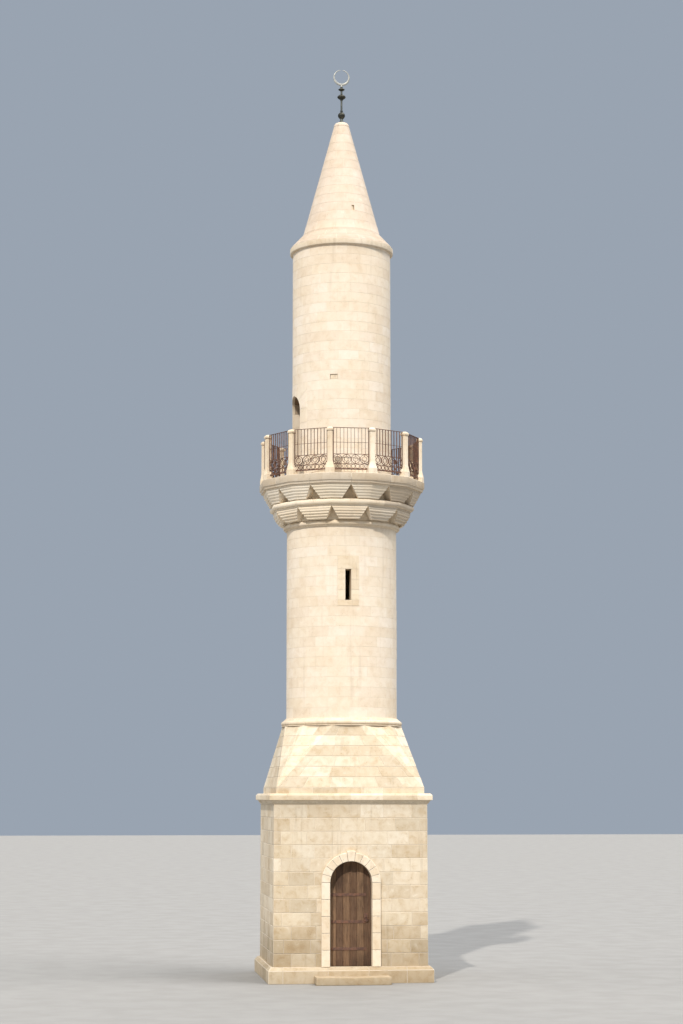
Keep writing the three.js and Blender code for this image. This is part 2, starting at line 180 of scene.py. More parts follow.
class Finish:
    """A procedural material whose nodes are added by short calls."""

    def __init__(self, name):
        self.material = bpy.data.materials.new(name)
        self.material.use_nodes = True
        self.tree = self.material.node_tree
        self.shader = self.tree.nodes["Principled BSDF"]
        self.place = self.add("ShaderNodeTexCoord").outputs["Object"]

    def add(self, kind, inputs=None, **settings):
        node = self.tree.nodes.new(kind)
        for key, value in settings.items():
            setattr(node, key, value)
        for key, value in (inputs or {}).items():
            self.plug(node.inputs[key], value)
        return node

    def plug(self, socket, value):
        if isinstance(value, bpy.types.NodeSocket):
            self.tree.links.new(value, socket)
        else:
            socket.default_value = value

    def stretched(self, scale):
        inputs = {"Vector": self.place, "Scale": scale}
        return self.add("ShaderNodeMapping", inputs).outputs[0]

    def noise(self, scale, detail=4.0, rough=0.55, stretch=None, twist=0.0):
        place = self.stretched(stretch) if stretch else self.place
        inputs = {"Vector": place, "Scale": scale, "Detail": detail, "Roughness": rough,
                  "Distortion": twist}
        return self.add("ShaderNodeTexNoise", inputs).outputs["Fac"]

    def cells(self, scale):
        inputs = {"Vector": self.place, "Scale": scale}
        return self.add("ShaderNodeTexVoronoi", inputs).outputs["Distance"]

    def attribute(self, name):
        return self.add("ShaderNodeAttribute", attribute_name=name).outputs["Fac"]

    def span(self, value, low, high, start=0.0, end=1.0):
        inputs = {"Value": value, "From Min": low, "From Max": high, "To Min": start, "To Max": end}
        node = self.add("ShaderNodeMapRange", inputs, interpolation_type="SMOOTHSTEP")
        return node.outputs["Result"]

    def reckon(self, kind, first, second):
        return self.add("ShaderNodeMath", {0: first, 1: second}, operation=kind).outputs[0]

    def ramp(self, value, stops):
        node = self.add("ShaderNodeValToRGB", {"Fac": value})
        steps = node.color_ramp.elements
        while len(steps) < len(stops):
            steps.new(1.0)
        for step, (position, colour) in zip(steps, stops):
            step.position = position
            step.color = colour
        return node.outputs["Color"]

    def mix(self, part, under, over, blend="MIX"):
        """Lays one colour over another: a colour mix takes them at 6 and 7, and gives at 2."""
        inputs = {0: part, 6: under, 7: over}
        return self.add("ShaderNodeMix", inputs, data_type="RGBA", blend_type=blend).outputs[2]

    def patched(self, colour, value, low, high, most, tone, blend="MIX"):
        """Lays a tone over a colour where a value runs from low to high, as far as most."""
        return self.mix(self.span(value, low, high, 0.0, most), colour, srgb(*tone), blend)

    def stained(self, colour, value, low, high, most, tone):
        """Darkens a colour by a tone in the same way."""
        return self.patched(colour, value, low, high, most, tone, "MULTIPLY")

    def bump(self, height, distance, under=None, strength=1.0):
        inputs = {"Height": height, "Distance": distance, "Strength": strength}
        if under:
            inputs["Normal"] = under
        return self.add("ShaderNodeBump", inputs).outputs["Normal"]

    def dampened(self, colour, top):
        """Darkens a wall's foot up to about a height, ragged and fading out."""
        height = self.add("ShaderNodeSeparateXYZ", {0: self.place}).outputs["Z"]
        edge = self.reckon("ADD", height, self.reckon("MULTIPLY", self.noise(1.7, 6.0), -1.1))
        return self.stained(colour, edge, top, top - 1.1, 0.6, (178, 166, 144))

    def done(self, colour, roughness, normal, metallic=0.0):
        self.plug(self.shader.inputs["Base Color"], colour)
        self.plug(self.shader.inputs["Roughness"], roughness)
        self.plug(self.shader.inputs["Normal"], normal)
        self.plug(self.shader.inputs["Metallic"], metallic)
        return self.material


def limestone(name, tones, streaks, pits, mottling, relief=1.0, soot_and_painted_shade=0.28, damp=None):
    """Cut limestone: each block its own tone, with clouding, grain, pits, rain streaks, soot and
    painted shade.
    """
    stone = Finish(name)
    count = len(tones) - 1
    stops = [(i / count, srgb(*tone)) for i, tone in enumerate(tones)]
    colour = stone.ramp(stone.attribute("tone"), stops)
    cloud = stone.noise(1.1, 5.0)
    mottle = stone.noise(7.0, 8.0, 0.62, twist=0.4)
    grain = stone.noise(95.0, 4.0, 0.6)
    pit = stone.cells(34.0)
    streak = stone.noise(1.0, 6.0, 0.6, stretch=(9.0, 9.0, 0.55))
    colour = stone.stained(colour, cloud, 0.42, 0.7, 0.4, (246, 238, 224))
    colour = stone.stained(colour, mottle, 0.42, 0.72, mottling, (228, 214, 190))
    colour = stone.patched(colour, mottle, 0.42, 0.28, 0.3, (244, 236, 220))
    colour = stone.stained(colour, grain, 0.55, 0.75, 0.35, (214, 198, 170))
    hollow = stone.reckon("MULTIPLY", stone.span(pit, 0.2, 0.08), stone.span(mottle, 0.5, 0.62))
    pitted = stone.reckon("MULTIPLY", hollow, pits)
    colour = stone.mix(pitted, colour, srgb(140, 118, 92), "MULTIPLY")
    colour = stone.stained(colour, streak, 0.55, 0.78, streaks, (178, 164, 142))
    if damp:
        colour = stone.dampened(colour, damp)
    # Soot and painted shade darken faces turned downward, and each face's own value adds grime or
    # painted shade.
    facing = stone.add("ShaderNodeNewGeometry").outputs["Normal"]
    upward = stone.add("ShaderNodeSeparateXYZ", {0: facing}).outputs["Z"]
    ragged = stone.reckon("ADD", upward, stone.span(mottle, 0.3, 0.7, -0.15, 0.15))
    under = stone.span(ragged, -0.2, -0.8, 0.0, soot_and_painted_shade)
    soot_grime_and_painted_shade = stone.reckon("MAXIMUM", under, stone.attribute("grime_and_painted_shade"))
    colour = stone.mix(soot_grime_and_painted_shade, colour, srgb(128, 108, 90), "MULTIPLY")
    worn = stone.reckon("MULTIPLY", stone.attribute("worn"), stone.span(mottle, 0.3, 0.6, 0.1, 0.5))
    colour = stone.mix(worn, colour, srgb(244, 236, 220))
    normal = stone.bump(mottle, 0.005 * relief, strength=0.5)
    normal = stone.bump(grain, 0.0012 * relief, normal, 0.6)
    normal = stone.bump(stone.reckon("MULTIPLY", hollow, -1.0), 0.003 * relief, normal, 0.7)
    return stone.done(colour, stone.span(grain, 0.3, 0.7, 0.82, 0.95), normal)


def bedding(name, light, dark, scale=22.0):
    """Lime mortar and rough backing behind the blocks, which takes up damp twice over."""
    lime = Finish(name)
    sand = lime.noise(scale * 7, 3.0, 0.7)
    lump = lime.noise(scale, 6.0, 0.6)
    slow = lime.noise(1.4, 4.0)
    colour = lime.mix(lime.span(lump, 0.35, 0.7), srgb(*light), srgb(*dark))
    colour = lime.stained(colour, slow, 0.4, 0.7, 0.4, (196, 178, 150))
    colour = lime.stained(colour, sand, 0.5, 0.72, 0.5, (168, 148, 120))
    for _ in range(2):
        colour = lime.dampened(colour, DAMP_TOP)
    normal = lime.bump(lump, 0.006, strength=0.6)
    normal = lime.bump(sand, 0.002, normal, 0.8)
    return lime.done(colour, lime.span(sand, 0.3, 0.7, 0.86, 0.97), normal)


def rusty_iron(name):
    """Wrought iron: old dark brown paint with rust coming through."""
    metal = Finish(name)
    patch = metal.noise(13.0, 8.0, 0.65, twist=0.6)
    fine = metal.noise(160.0, 5.0, 0.7)
    run = metal.noise(5.0, 5.0, 0.6, stretch=(6.0, 6.0, 0.8))
    colour = metal.mix(metal.span(patch, 0.42, 0.62), srgb(94, 70, 60), srgb(122, 86, 66))
    colour = metal.patched(colour, fine, 0.52, 0.7, 0.7, (146, 104, 78))
    colour = metal.patched(colour, run, 0.55, 0.75, 0.5, (52, 40, 37))
    colour = metal.patched(colour, patch, 0.36, 0.22, 0.5, (98, 84, 80))
    normal = metal.bump(patch, 0.002, strength=0.5)
    normal = metal.bump(fine, 0.0008, normal, 0.8)
    gloss = metal.span(patch, 0.35, 0.65, 0.5, 0.85)
    return metal.done(colour, gloss, normal, metal.span(patch, 0.4, 0.6, 0.35, 0.05))


def aged_metal(name, body, light, patina, shine=0.75):
    """Weathered metal with a darker body, rubbed high spots and a thin patina."""
    metal = Finish(name)
    patch = metal.noise(11.0, 7.0, 0.6, twist=0.8)
    fine = metal.noise(210.0, 4.0, 0.65)
    run = metal.noise(9.0, 5.0, 0.6, stretch=(5.0, 5.0, 0.7))
    colour = metal.mix(metal.span(patch, 0.4, 0.68), srgb(*body), srgb(*light))
    colour = metal.patched(colour, run, 0.5, 0.7, 0.75, patina)
    colour = metal.patched(colour, fine, 0.56, 0.7, 0.4, body)
    normal = metal.bump(patch, 0.0015, strength=0.4)
    normal = metal.bump(fine, 0.0005, normal, 0.7)
    return metal.done(colour, metal.span(patch, 0.3, 0.7, 0.62, 0.38), normal,
                      metal.span(run, 0.45, 0.7, shine, 0.15))


def old_timber(name):
    """Sun-bleached planks with long grain, each its own tone."""
    wood = Finish(name)
    grain = wood.noise(14.0, 9.0, 0.68, stretch=(6.0, 6.0, 0.22), twist=1.2)
    fibre = wood.noise(60.0, 5.0, 0.7, stretch=(5.0, 5.0, 0.08))
    stain = wood.noise(2.2, 5.0)
    colour = wood.ramp(wood.attribute("tone"), [
        (0.0, srgb(96, 68, 46)), (0.5, srgb(118, 86, 58)), (1.0, srgb(132, 102, 74))])
    colour = wood.patched(colour, grain, 0.42, 0.66, 0.8, (62, 42, 28))
    colour = wood.patched(colour, fibre, 0.5, 0.7, 0.45, (164, 142, 114))
    colour = wood.stained(colour, stain, 0.45, 0.7, 0.5, (120, 108, 92))
    normal = wood.bump(grain, 0.004, strength=0.6)
    normal = wood.bump(fibre, 0.0015, normal, 0.8)
    return wood.done(colour, wood.span(grain, 0.3, 0.7, 0.66, 0.9), normal)


WALL_TONES = [(230, 214, 191), (236, 222, 202), (232, 217, 194), (237, 224, 206),
              (229, 213, 191), (234, 219, 197)]
# The roof's tones are the walls' a little darker: painted shade for its slope, which faces up into
# the light.
ROOF_TONES_PAINTED_SHADE = [(217, 200, 180), (213, 196, 176), (220, 204, 186), (215, 198, 177)]
BAND_TONES = [(228, 212, 187), (236, 222, 200), (224, 206, 179), (233, 218, 193)]
# The corbel's tones are lighter than the band's: painted light for its stepped front, which its own
# fillets shade.
CORBEL_TONES_PAINTED_LIGHT = [(238, 224, 201), (244, 232, 212), (235, 219, 194), (241, 228, 205)]
BASE_TONES = [(212, 196, 170), (224, 210, 187), (205, 188, 161), (218, 203, 177),
              (229, 217, 196), (200, 185, 160)]
PAVING_TONES = [(214, 200, 175), (224, 211, 188), (204, 189, 163)]

wall_stone = limestone("cream_ashlar", WALL_TONES, 0.2, 0.5, 0.3, relief=0.6)
roof_stone_painted_shade = limestone("roof_ashlar_painted_shade", ROOF_TONES_PAINTED_SHADE, 0.2, 0.5, 0.3, relief=0.6)
band_stone = limestone("carved_limestone", BAND_TONES, 0.4, 0.6, 0.4, relief=0.8)
corbel_stone_painted_light = limestone("corbel_limestone_painted_light", CORBEL_TONES_PAINTED_LIGHT, 0.2, 0.5, 0.25, relief=0.8, soot_and_painted_shade=0.04)
base_stone = limestone("base_limestone", BASE_TONES, 0.4, 0.8, 0.6, damp=DAMP_TOP)
paving = limestone("walked_paving", PAVING_TONES, 0.1, 0.7, 0.6)
mortar = bedding("lime_mortar", (228, 214, 190), (210, 195, 170))
# A lighter mortar for the corbel's core, seen in its recesses: painted light against their shade.
core_mortar_painted_light = bedding("shaded_core", (232, 218, 194), (214, 198, 172), 12.0)
iron = rusty_iron("rusty_ironwork")
bronze = aged_metal("dark_bronze", (50, 50, 44), (82, 78, 64), (70, 80, 72))
grey_iron = aged_metal("grey_spindle", (74, 78, 74), (104, 104, 96), (92, 102, 96), 0.4)
pale_bronze = aged_metal("pale_crescent", (158, 157, 150), (190, 188, 176), (172, 178, 174), 0.3)
timber = old_timber("plank_timber")


# Shared shapes

def radial(side):
    angle = math.radians(side)
    return Vector((math.sin(angle), -math.cos(angle), 0))


def about(side):
    """A turn round the tower's axis that takes the front to a side."""
    return Matrix.Rotation(math.radians(side), 4, "Z")


def piece(name, bm, look, replaced=(), crease=35):
    """Makes a bmesh into a piece of the tower."""
    mesh = bpy.data.meshes.new(name)
    bm.to_mesh(mesh)
    bm.free()
    placed(name, mesh, look, replaced, crease)


def placed(name, mesh, look, replaced=(), crease=35):
    """Makes a mesh an object that rides on the tower and hides the parts it stands in for."""
    mesh.materials.clear()
    mesh.materials.append(look)
    mesh.shade_smooth()
    mesh.set_sharp_from_angle(angle=math.radians(crease))
    made = bpy.data.objects.new(name, mesh)
    bpy.context.scene.collection.objects.link(made)
    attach(made, "root")
    if replaced:
        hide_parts(*replaced)


def repeated(name, bm, look, replaced, first=0.0, crease=35, dice=None):
    """Twelve numbered copies of a bmesh round the tower, each with its own tone where stone."""
    pattern = bpy.data.meshes.new("pattern")
    bm.to_mesh(pattern)
    bm.free()
    for i in range(SIDES):
        mesh = pattern.copy()
        mesh.transform(about(first + SIDE_ANGLE * i))
        if dice:
            shade = dice.random()
            mesh.attributes["tone"].data.foreach_set("value", [shade] * len(mesh.polygons))
        placed(f"{name}_{i + 1:02d}", mesh, look, [f"{replaced}_{i + 1:02d}"], crease)
    bpy.data.meshes.remove(pattern)


def edges_of(corners):
    return list(dict.fromkeys(edge for corner in corners for edge in corner.link_edges))


def faces_of(corners):
    return list(dict.fromkeys(face for corner in corners for face in corner.link_faces))


def ease(bm, edges, width, segments=1):
    """Bevels edges to a width."""
    return bmesh.ops.bevel(bm, geom=edges, offset=width, offset_type="OFFSET", segments=segments,
                           profile=0.5, affect="EDGES", clamp_overlap=False, material=-1)


def drawn_out(bm, face):
    """Extrudes a face and gives its copy; the face itself stays only where it closes an end."""
    grown = bmesh.ops.extrude_face_region(bm, geom=[face, *face.edges])["geom"]
    return next(part for part in grown if isinstance(part, bmesh.types.BMFace))


class Station:
    """A place on an outline, where a distance outward and a height give a point."""

    def __init__(self, across, shift=NOWHERE, rise=UP):
        self.across = across
        self.shift = shift
        self.rise = rise

    def point(self, outward, height):
        return self.across * outward + self.shift + self.rise * height

    def outward(self, point):
        left = point - self.shift - self.rise * point.z
        return left.dot(self.across) / self.across.length_squared


def ring(first=0.0, steps=ROUND):
    return [Station(radial(first + 360 * i / steps)) for i in range(steps)]


def flats(sides):
    """The corners of a many-sided outline with a flat towards the front."""
    reach = 1 / math.cos(math.pi / sides)
    return [Station(radial(360 * (i + 0.5) / sides) * reach) for i in range(sides)]


def between(a, b, part, outward, height):
    """A station on the flat between two others, square to it."""
    start = a.point(outward, height)
    end = b.point(outward, height)
    across = (end - start).cross(UP).normalized()
    rise = a.rise.lerp(b.rise, part)
    return Station(across, start.lerp(end, part) - across * outward - rise * height, rise)


def stone_layers(bm):
    """What a stone finish reads from each face: its block's tone, worn arrises, and grime or
    painted shade.
    """
    return [bm.faces.layers.float.new(name) for name in ("tone", "worn", "grime_and_painted_shade")]


class Stonework:
    """Separate closed blocks, each with its own tone, their front edges worn.

    Work marked square is four-sided, with every joint square to its wall.
    """

    def __init__(self, seed, joint=JOINT, proud=PROUD, square=False):
        self.joint = joint
        self.proud = proud
        self.square = square
        self.mesh = bmesh.new()
        self.tone, self.worn, self.grime_and_painted_shade = stone_layers(self.mesh)
        self.front = set()
        self.dice = random.Random(seed)

    def colour(self, corners):
        shade = self.dice.random()
        for corner in corners:
            for face in corner.link_faces:
                face[self.tone] = shade

    def block(self, section, stations):
        """Carries a section of (outward, height) points along stations."""
        back = min(outward for outward, _ in section) + 0.0005
        lift = self.dice.uniform(-UNEVEN, UNEVEN) * self.proud
        corners = []
        for outward, height in section:
            moved = outward + lift if outward > back else outward
            corner = self.mesh.verts.new(stations[0].point(moved, height))
            corners.append(corner)
            if outward > back:
                self.front.add(corner)
        end = self.mesh.faces.new(corners)
        for here, there in zip(stations, stations[1:]):
            end = drawn_out(self.mesh, end)
            for corner in end.verts:
                outward = here.outward(corner.co)
                corner.co = there.point(outward, corner.co.z)
                corners.append(corner)
                if outward > back + UNEVEN * self.proud:
                    self.front.add(corner)
        if self.square:
            bmesh.ops.remove_doubles(self.mesh, verts=corners, dist=TAPER)
            corners = [corner for corner in corners if corner.is_valid]
            self.front = {corner for corner in self.front if corner.is_valid}
        self.colour(corners)

    def plain(self, outward, low, high):
        """A flat-faced block's section on a wall at a distance from the axis."""
        low += self.joint / 2
        high -= self.joint / 2
        front = outward + self.proud
        return [(outward - SUNK, low), (front, low), (front, high), (outward - SUNK, high)]

    def course(self, outline, section, length, start=0.0, skips=(), loose=0.1):
        """One course of blocks of about a length, cut short where it meets a skip."""
        total = self.measure(outline, section)[-1]
        count = max(1, round(total / length))
        pitch = total / count
        joints = [start + pitch * (i + self.dice.uniform(-loose, loose)) for i in range(count)]
        runs = [(joints[0], joints[0] + total)]
        if skips:
            skips = sorted(skips)
            ends = [low for low, _ in skips[1:]] + [skips[0][0] + total]
            runs = [(skip[1], end) for skip, end in zip(skips, ends)]
        for low, high in runs:
            marks = [joint + turn * total for turn in (-1, 0, 1, 2) for joint in joints]
            near = pitch * SHORTEST
            marks = [low, *(mark for mark in marks if low + near < mark < high - near), high]
            for a, b in zip(marks, marks[1:]):
                self.lay(outline, section, a + self.joint / 2, b - self.joint / 2)

    def measure(self, outline, section):
        """How far along an outline each of its corners is, at a section's front."""
        outward = max(part for part, _ in section)
        height = sum(part for _, part in section) / len(section)
        ways = [0.0]
        for a, b in zip(outline, outline[1:] + outline[:1]):
            ways.append(ways[-1] + (b.point(outward, height) - a.point(outward, height)).length)
        return ways

    def lay(self, outline, section, low, high):
        """One block between two marks, through the outline's corners on its way."""
        ways = self.measure(outline, section)
        total = ways[-1]
        turns = math.floor(low / total)
        low -= turns * total
        high -= turns * total
        stations = [self.stop(outline, ways, low, section)]
        for turn in (0, total):
            for way, corner in zip(ways, outline):
                if low + NEAREST < way + turn < high - NEAREST:
                    stations.append(corner)
        stations.append(self.stop(outline, ways, high, section))
        self.block(section, stations)

    def stop(self, outline, ways, mark, section):
        mark %= ways[-1]
        place = max(i for i, way in enumerate(ways[:-1]) if way <= mark)
        part = (mark - ways[place]) / (ways[place + 1] - ways[place])
        here = outline[place]
        there = outline[(place + 1) % len(outline)]
        if self.square:
            outward = max(part for part, _ in section)
            height = sum(part for _, part in section) / len(section)
            return between(here, there, part, outward, height)
        return Station(here.across.lerp(there.across, part), here.shift.lerp(there.shift, part),
                       here.rise.lerp(there.rise, part))

    def dressed(self, outline, back, front, bend, step=0.0, grime_and_painted_shade=FAINT_PAINTED_SHADE, painted_lit_band=0.0):
        """A block drawn upright as (x, height) points, from the back to the front of a wall.

        Painted shade darkens its sides, the reveal, apart from a lit band behind the front that
        keeps only faint painted shade.
        """
        bm = self.mesh
        known = set(bm.verts)
        face = bm.faces.new([bm.verts.new((x, back, z)) for x, z in outline])
        bmesh.ops.translate(bm, verts=drawn_out(bm, face).verts[:], vec=(0, front - back, 0))
        low = min(x for x, _ in outline)
        high = max(x for x, _ in outline)
        count = int((high - low) / step) if step else 0
        cuts = [(low + (high - low) * (i + 1) / (count + 1), 0, 0) for i in range(count)]
        planes = [(cut, (1, 0, 0)) for cut in cuts]
        if painted_lit_band:
            planes.append(((0, front - painted_lit_band, 0), (0, 1, 0)))
        for middle, facing in planes:
            made = [corner for corner in bm.verts if corner not in known]
            bmesh.ops.bisect_plane(bm, geom=made + edges_of(made) + faces_of(made), dist=1e-5,
                                   plane_co=middle, plane_no=facing)
        corners = [corner for corner in bm.verts if corner not in known]
        # Painted shade on the side faces, which stand in a reveal; the band nearest the front keeps
        # only faint painted shade, as painted light for its lit edge.
        for side in faces_of(corners):
            depth = front - side.calc_center_median().y
            if 0.001 < depth < front - back - 0.001:
                side[self.grime_and_painted_shade] = grime_and_painted_shade if depth > painted_lit_band else FAINT_PAINTED_SHADE
        for corner in corners:
            if corner.co.y > front - 0.001:
                self.front.add(corner)
            corner.co = bend(corner.co)
        self.colour(corners)

    def soil_and_shade(self, amount):
        """Sets each face's grime or painted shade, which a rule gives for it."""
        for face in self.mesh.faces:
            face.normal_update()
            face[self.grime_and_painted_shade] = amount(face)

    def finish(self, name, look, replaced=(), arris=ARRIS, crease=35):
        bm = self.mesh
        bmesh.ops.recalc_face_normals(bm, faces=bm.faces)
        edges = [edge for edge in bm.edges
                 if edge.verts[0] in self.front and edge.verts[1] in self.front
                 and edge.calc_face_angle(0) > SHARP]
        for face in ease(bm, edges, arris)["faces"]:
            face[self.worn] = 1.0
        piece(name, bm, look, replaced, crease)


def levels(foot, top, count):
    """The beds of a wall of equal courses."""
    beds = [foot + (top - foot) * i / count for i in range(count + 1)]
    return list(zip(beds, beds[1:]))


def on_round(radius, side):
    """Bends an upright block onto a round wall at a side."""
    turn = about(side)

    def bend(point):
        reach = radius + point.y
        return turn @ Vector((point.x, -math.sqrt(reach ** 2 - point.x ** 2), point.z))

    return bend


def on_flat(point):
    """Sets an upright block on the front wall of the base."""
    return Vector((point.x, -BASE_HALF - point.y, point.z))


def voussoir(inner, outer, start, end, spring):
    """The outline of one arch stone between two angles, 0 at the right springing."""
    inside = JOINT / 2 / inner
    outside = JOINT / 2 / outer
    outline = []
    for i in range(4):
        angle = start + inside + (end - start - 2 * inside) * i / 3
        outline.append((inner * math.cos(angle), spring + inner * math.sin(angle)))
    for i in range(4):
        angle = end - outside - (end - start - 2 * outside) * i / 3
        outline.append((outer * math.cos(angle), spring + outer * math.sin(angle)))
    return outline


def block_outline(left, right, low, high, joint=JOINT):
    half = joint / 2
    return [(left + half, low + half), (right - half, low + half),
            (right - half, high - half), (left + half, high - half)]


def roll(outward, reach, low, high):
    """A half-round moulding's points, from its lower edge to its upper one."""
    count = 11
    points = []
    for i in range(count):
        angle = math.pi * (i / (count - 1) - 0.5)
        height = (low + high) / 2 + (high - low) / 2 * math.sin(angle)
        points.append((outward + reach * math.cos(angle), height))
    return points


def cove(start, end, count=6):
    """A hollow moulding's points, upright where it starts and level where it ends."""
    points = []
    for i in range(count):
        angle = math.pi / 2 * i / (count - 1)
        points.append((start[0] + (end[0] - start[0]) * (1 - math.cos(angle)),
                       start[1] + (end[1] - start[1]) * math.sin(angle)))
    return points


def turned(bm, profile, segments):
    """A turned shape from (radius, height) points, going up the outside."""
    corners = [bm.verts.new((radius, 0, height)) for radius, height in profile]
    edges = [bm.edges.new(pair) for pair in zip(corners, corners[1:])]
    bmesh.ops.spin(bm, geom=corners + edges, cent=(0, 0, 0), axis=(0, 0, 1), angle=2 * math.pi,
                   steps=segments, use_merge=True)
    bmesh.ops.remove_doubles(bm, verts=bm.verts, dist=1e-6)
    bmesh.ops.recalc_face_normals(bm, faces=bm.faces)


def sweep(bm, frames, segments, closed=False):
    """Carries a round section through frames, or round a loop of them."""
    made = bmesh.ops.create_circle(bm, cap_ends=True, segments=segments, radius=1)["verts"]
    cap = made[0].link_faces[0]
    first = cap
    bmesh.ops.transform(bm, matrix=frames[0], verts=made)
    for here, there in zip(frames, frames[1:]):
        cap = drawn_out(bm, cap)
        step = there @ here.inverted()
        bmesh.ops.transform(bm, matrix=step, verts=cap.verts[:])
        made += cap.verts[:]
    if closed:
        bmesh.ops.delete(bm, geom=[cap, first], context="FACES_ONLY")
        kept = [corner for corner in made if corner.is_valid]
        bmesh.ops.remove_doubles(bm, verts=kept, dist=1e-5)


def iron_bar(bm, middle, size, arris=0.002):
    """A straight bar, its arrises taken off where it has a width for that."""
    made = bmesh.ops.create_cube(bm, size=1)["verts"]
    bmesh.ops.scale(bm, vec=size, verts=made)
    bmesh.ops.translate(bm, vec=middle, verts=made)
    if arris:
        ease(bm, edges_of(made), arris)


def iron_ring(bm, middle, radius, width, depth, steps, sides=4):
    """A bar bent into an upright ring, seen round from the front."""
    section = Matrix.Diagonal((width, depth, 1, 1)) @ Matrix.Rotation(math.pi / 4, 4, "Z")
    start = Matrix.Translation((radius, 0, 0)) @ section
    frames = []
    for i in range(steps + 1):
        turn = Matrix.Rotation(2 * math.pi * i / steps, 4, "Y")
        frames.append(Matrix.Translation(middle) @ turn @ start)
    sweep(bm, frames, sides, closed=True)


# Base

def build_plinth():
    stones = Stonework(11, 0.004, square=True)
    top = PLINTH_TOP
    section = [
        (BASE_HALF - 0.03, 0.0),
        (PLINTH_HALF + 0.006, 0.0),
        (PLINTH_HALF + 0.006, top - 0.06),
        (PLINTH_HALF - 0.054, top + 0.005),
        (BASE_HALF - 0.03, top + 0.005),
    ]
    stones.course(flats(4), section, 0.78, start=0.31, loose=0.06)
    stones.finish("plinth_stones", base_stone, arris=0.006)


def surround_reach(low):
    """How far from the door's middle a base course may start, hidden by the surround."""
    if low >= DOOR_SPRING + DOOR_HALF:
        return 0.0
    rise = max(0.0, low - DOOR_SPRING)
    inner = math.sqrt(DOOR_HALF ** 2 - rise ** 2)
    return min(DOOR_HALF + SURROUND / 2, inner + 0.06) if rise == 0 else inner + 0.01


def build_base_walls():
    stones = Stonework(12, square=True)
    outline = flats(4)
    way = 2 * (BASE_HALF + PROUD)
    middle = 3.5 * way
    for row, (low, high) in enumerate(levels(PLINTH_TOP, BASE_TOP, BASE_COURSES)):
        reach = surround_reach(low)
        skips = [(middle - reach, middle + reach)] if reach else ()
        section = stones.plain(BASE_HALF, low, high)
        start = 0.17 if row % 2 else -0.17
        stones.course(outline, section, 0.485, start=start, skips=skips)
    stones.finish("base_stones", base_stone, arris=0.005)


def build_base_cornice():
    stones = Stonework(13, square=True)
    z = BASE_TOP
    section = [
        (BASE_HALF - SUNK, z - 0.002),
        (BASE_HALF + 0.012, z - 0.002),
        (BASE_HALF + 0.012, z + 0.016),
        *cove((BASE_HALF + 0.024, z + 0.016), (BASE_HALF + 0.084, z + 0.082)),
        (BASE_HALF + 0.096, z + 0.082),
        (BASE_HALF + 0.096, z + 0.172),
        (BASE_HALF + 0.06, z + 0.206),
        (TRANSITION_HALF - 0.02, z + 0.206),
        (TRANSITION_HALF - 0.02, z + 0.19),
    ]
    stones.course(flats(4), section, 0.62, start=0.31, loose=0.05)
    stones.finish("base_cornice_stones", base_stone, arris=0.003)


def build_entrance():
    stones = Stonework(14)
    outer = DOOR_HALF + SURROUND
    inner = DOOR_HALF - LINING
    back = LEAF_FRONT + BASE_HALF - 0.002
    for side in (-1, 1):
        for low, high in levels(PLINTH_TOP, DOOR_SPRING, 5):
            ends = sorted((side * inner, side * outer))
            stones.dressed(block_outline(*ends, low, high), -back, SURROUND_PROUD, on_flat)
    count = 11
    for i in range(count):
        key = i == count // 2
        start = math.pi * i / count
        end = start + math.pi / count
        outline = voussoir(inner, outer + (0.03 if key else 0), start, end, DOOR_SPRING)
        stones.dressed(outline, -back, KEYSTONE_PROUD if key else SURROUND_PROUD, on_flat)
    stones.finish("entrance_arch_stones", band_stone, ["entrance_surround"],
                  arris=0.006)


def build_step():
    """The step, its arrises eased and its tread worn hollow in the middle."""
    hollow = 0.012
    spread = 0.28
    low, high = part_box("entrance_step")
    bm = bmesh.new()
    stone_layers(bm)
    bmesh.ops.create_cube(bm, size=1)
    size = high - low
    bmesh.ops.scale(bm, vec=size, verts=bm.verts)
    bmesh.ops.translate(bm, vec=(low + high) / 2, verts=bm.verts)
    ease(bm, bm.edges[:], 0.012, 3)
    long_edges = [edge for edge in bm.edges if abs(edge.verts[0].co.x - edge.verts[1].co.x) > 1]
    bmesh.ops.subdivide_edges(bm, edges=long_edges, cuts=15, use_grid_fill=True)
    for corner in bm.verts:
        if corner.co.z > high.z - 0.025:
            corner.co.z -= hollow * math.exp(-(corner.co.x / spread) ** 2)
    piece("worn_step", bm, base_stone, ["entrance_step"])


def build_door():
    boards = Stonework(15)
    width = DOOR_HALF - 0.006
    marks = [-width + 2 * width * i / BOARDS for i in range(BOARDS + 1)]
    foot = PLINTH_TOP + 0.004

    def head(x):
        return DOOR_SPRING + math.sqrt(max(0.0, width ** 2 - x ** 2))

    for left, right in zip(marks, marks[1:]):
        xs = [left + 0.0015 + (right - left - 0.003) * i / 6 for i in range(7)]
        outline = [(xs[0], foot), (xs[-1], foot)] + [(x, head(x)) for x in reversed(xs)]
        boards.dressed(outline, -0.2, -0.152, on_flat)
    for low, high in ((0.75, 0.9), (1.75, 1.9)):
        rail = [(-width, low), (width, low), (width, high), (-width, high)]
        boards.dressed(rail, -0.21, -0.198, on_flat)
    boards.finish("plank_door", timber, ["entrance_door"], arris=0.004)


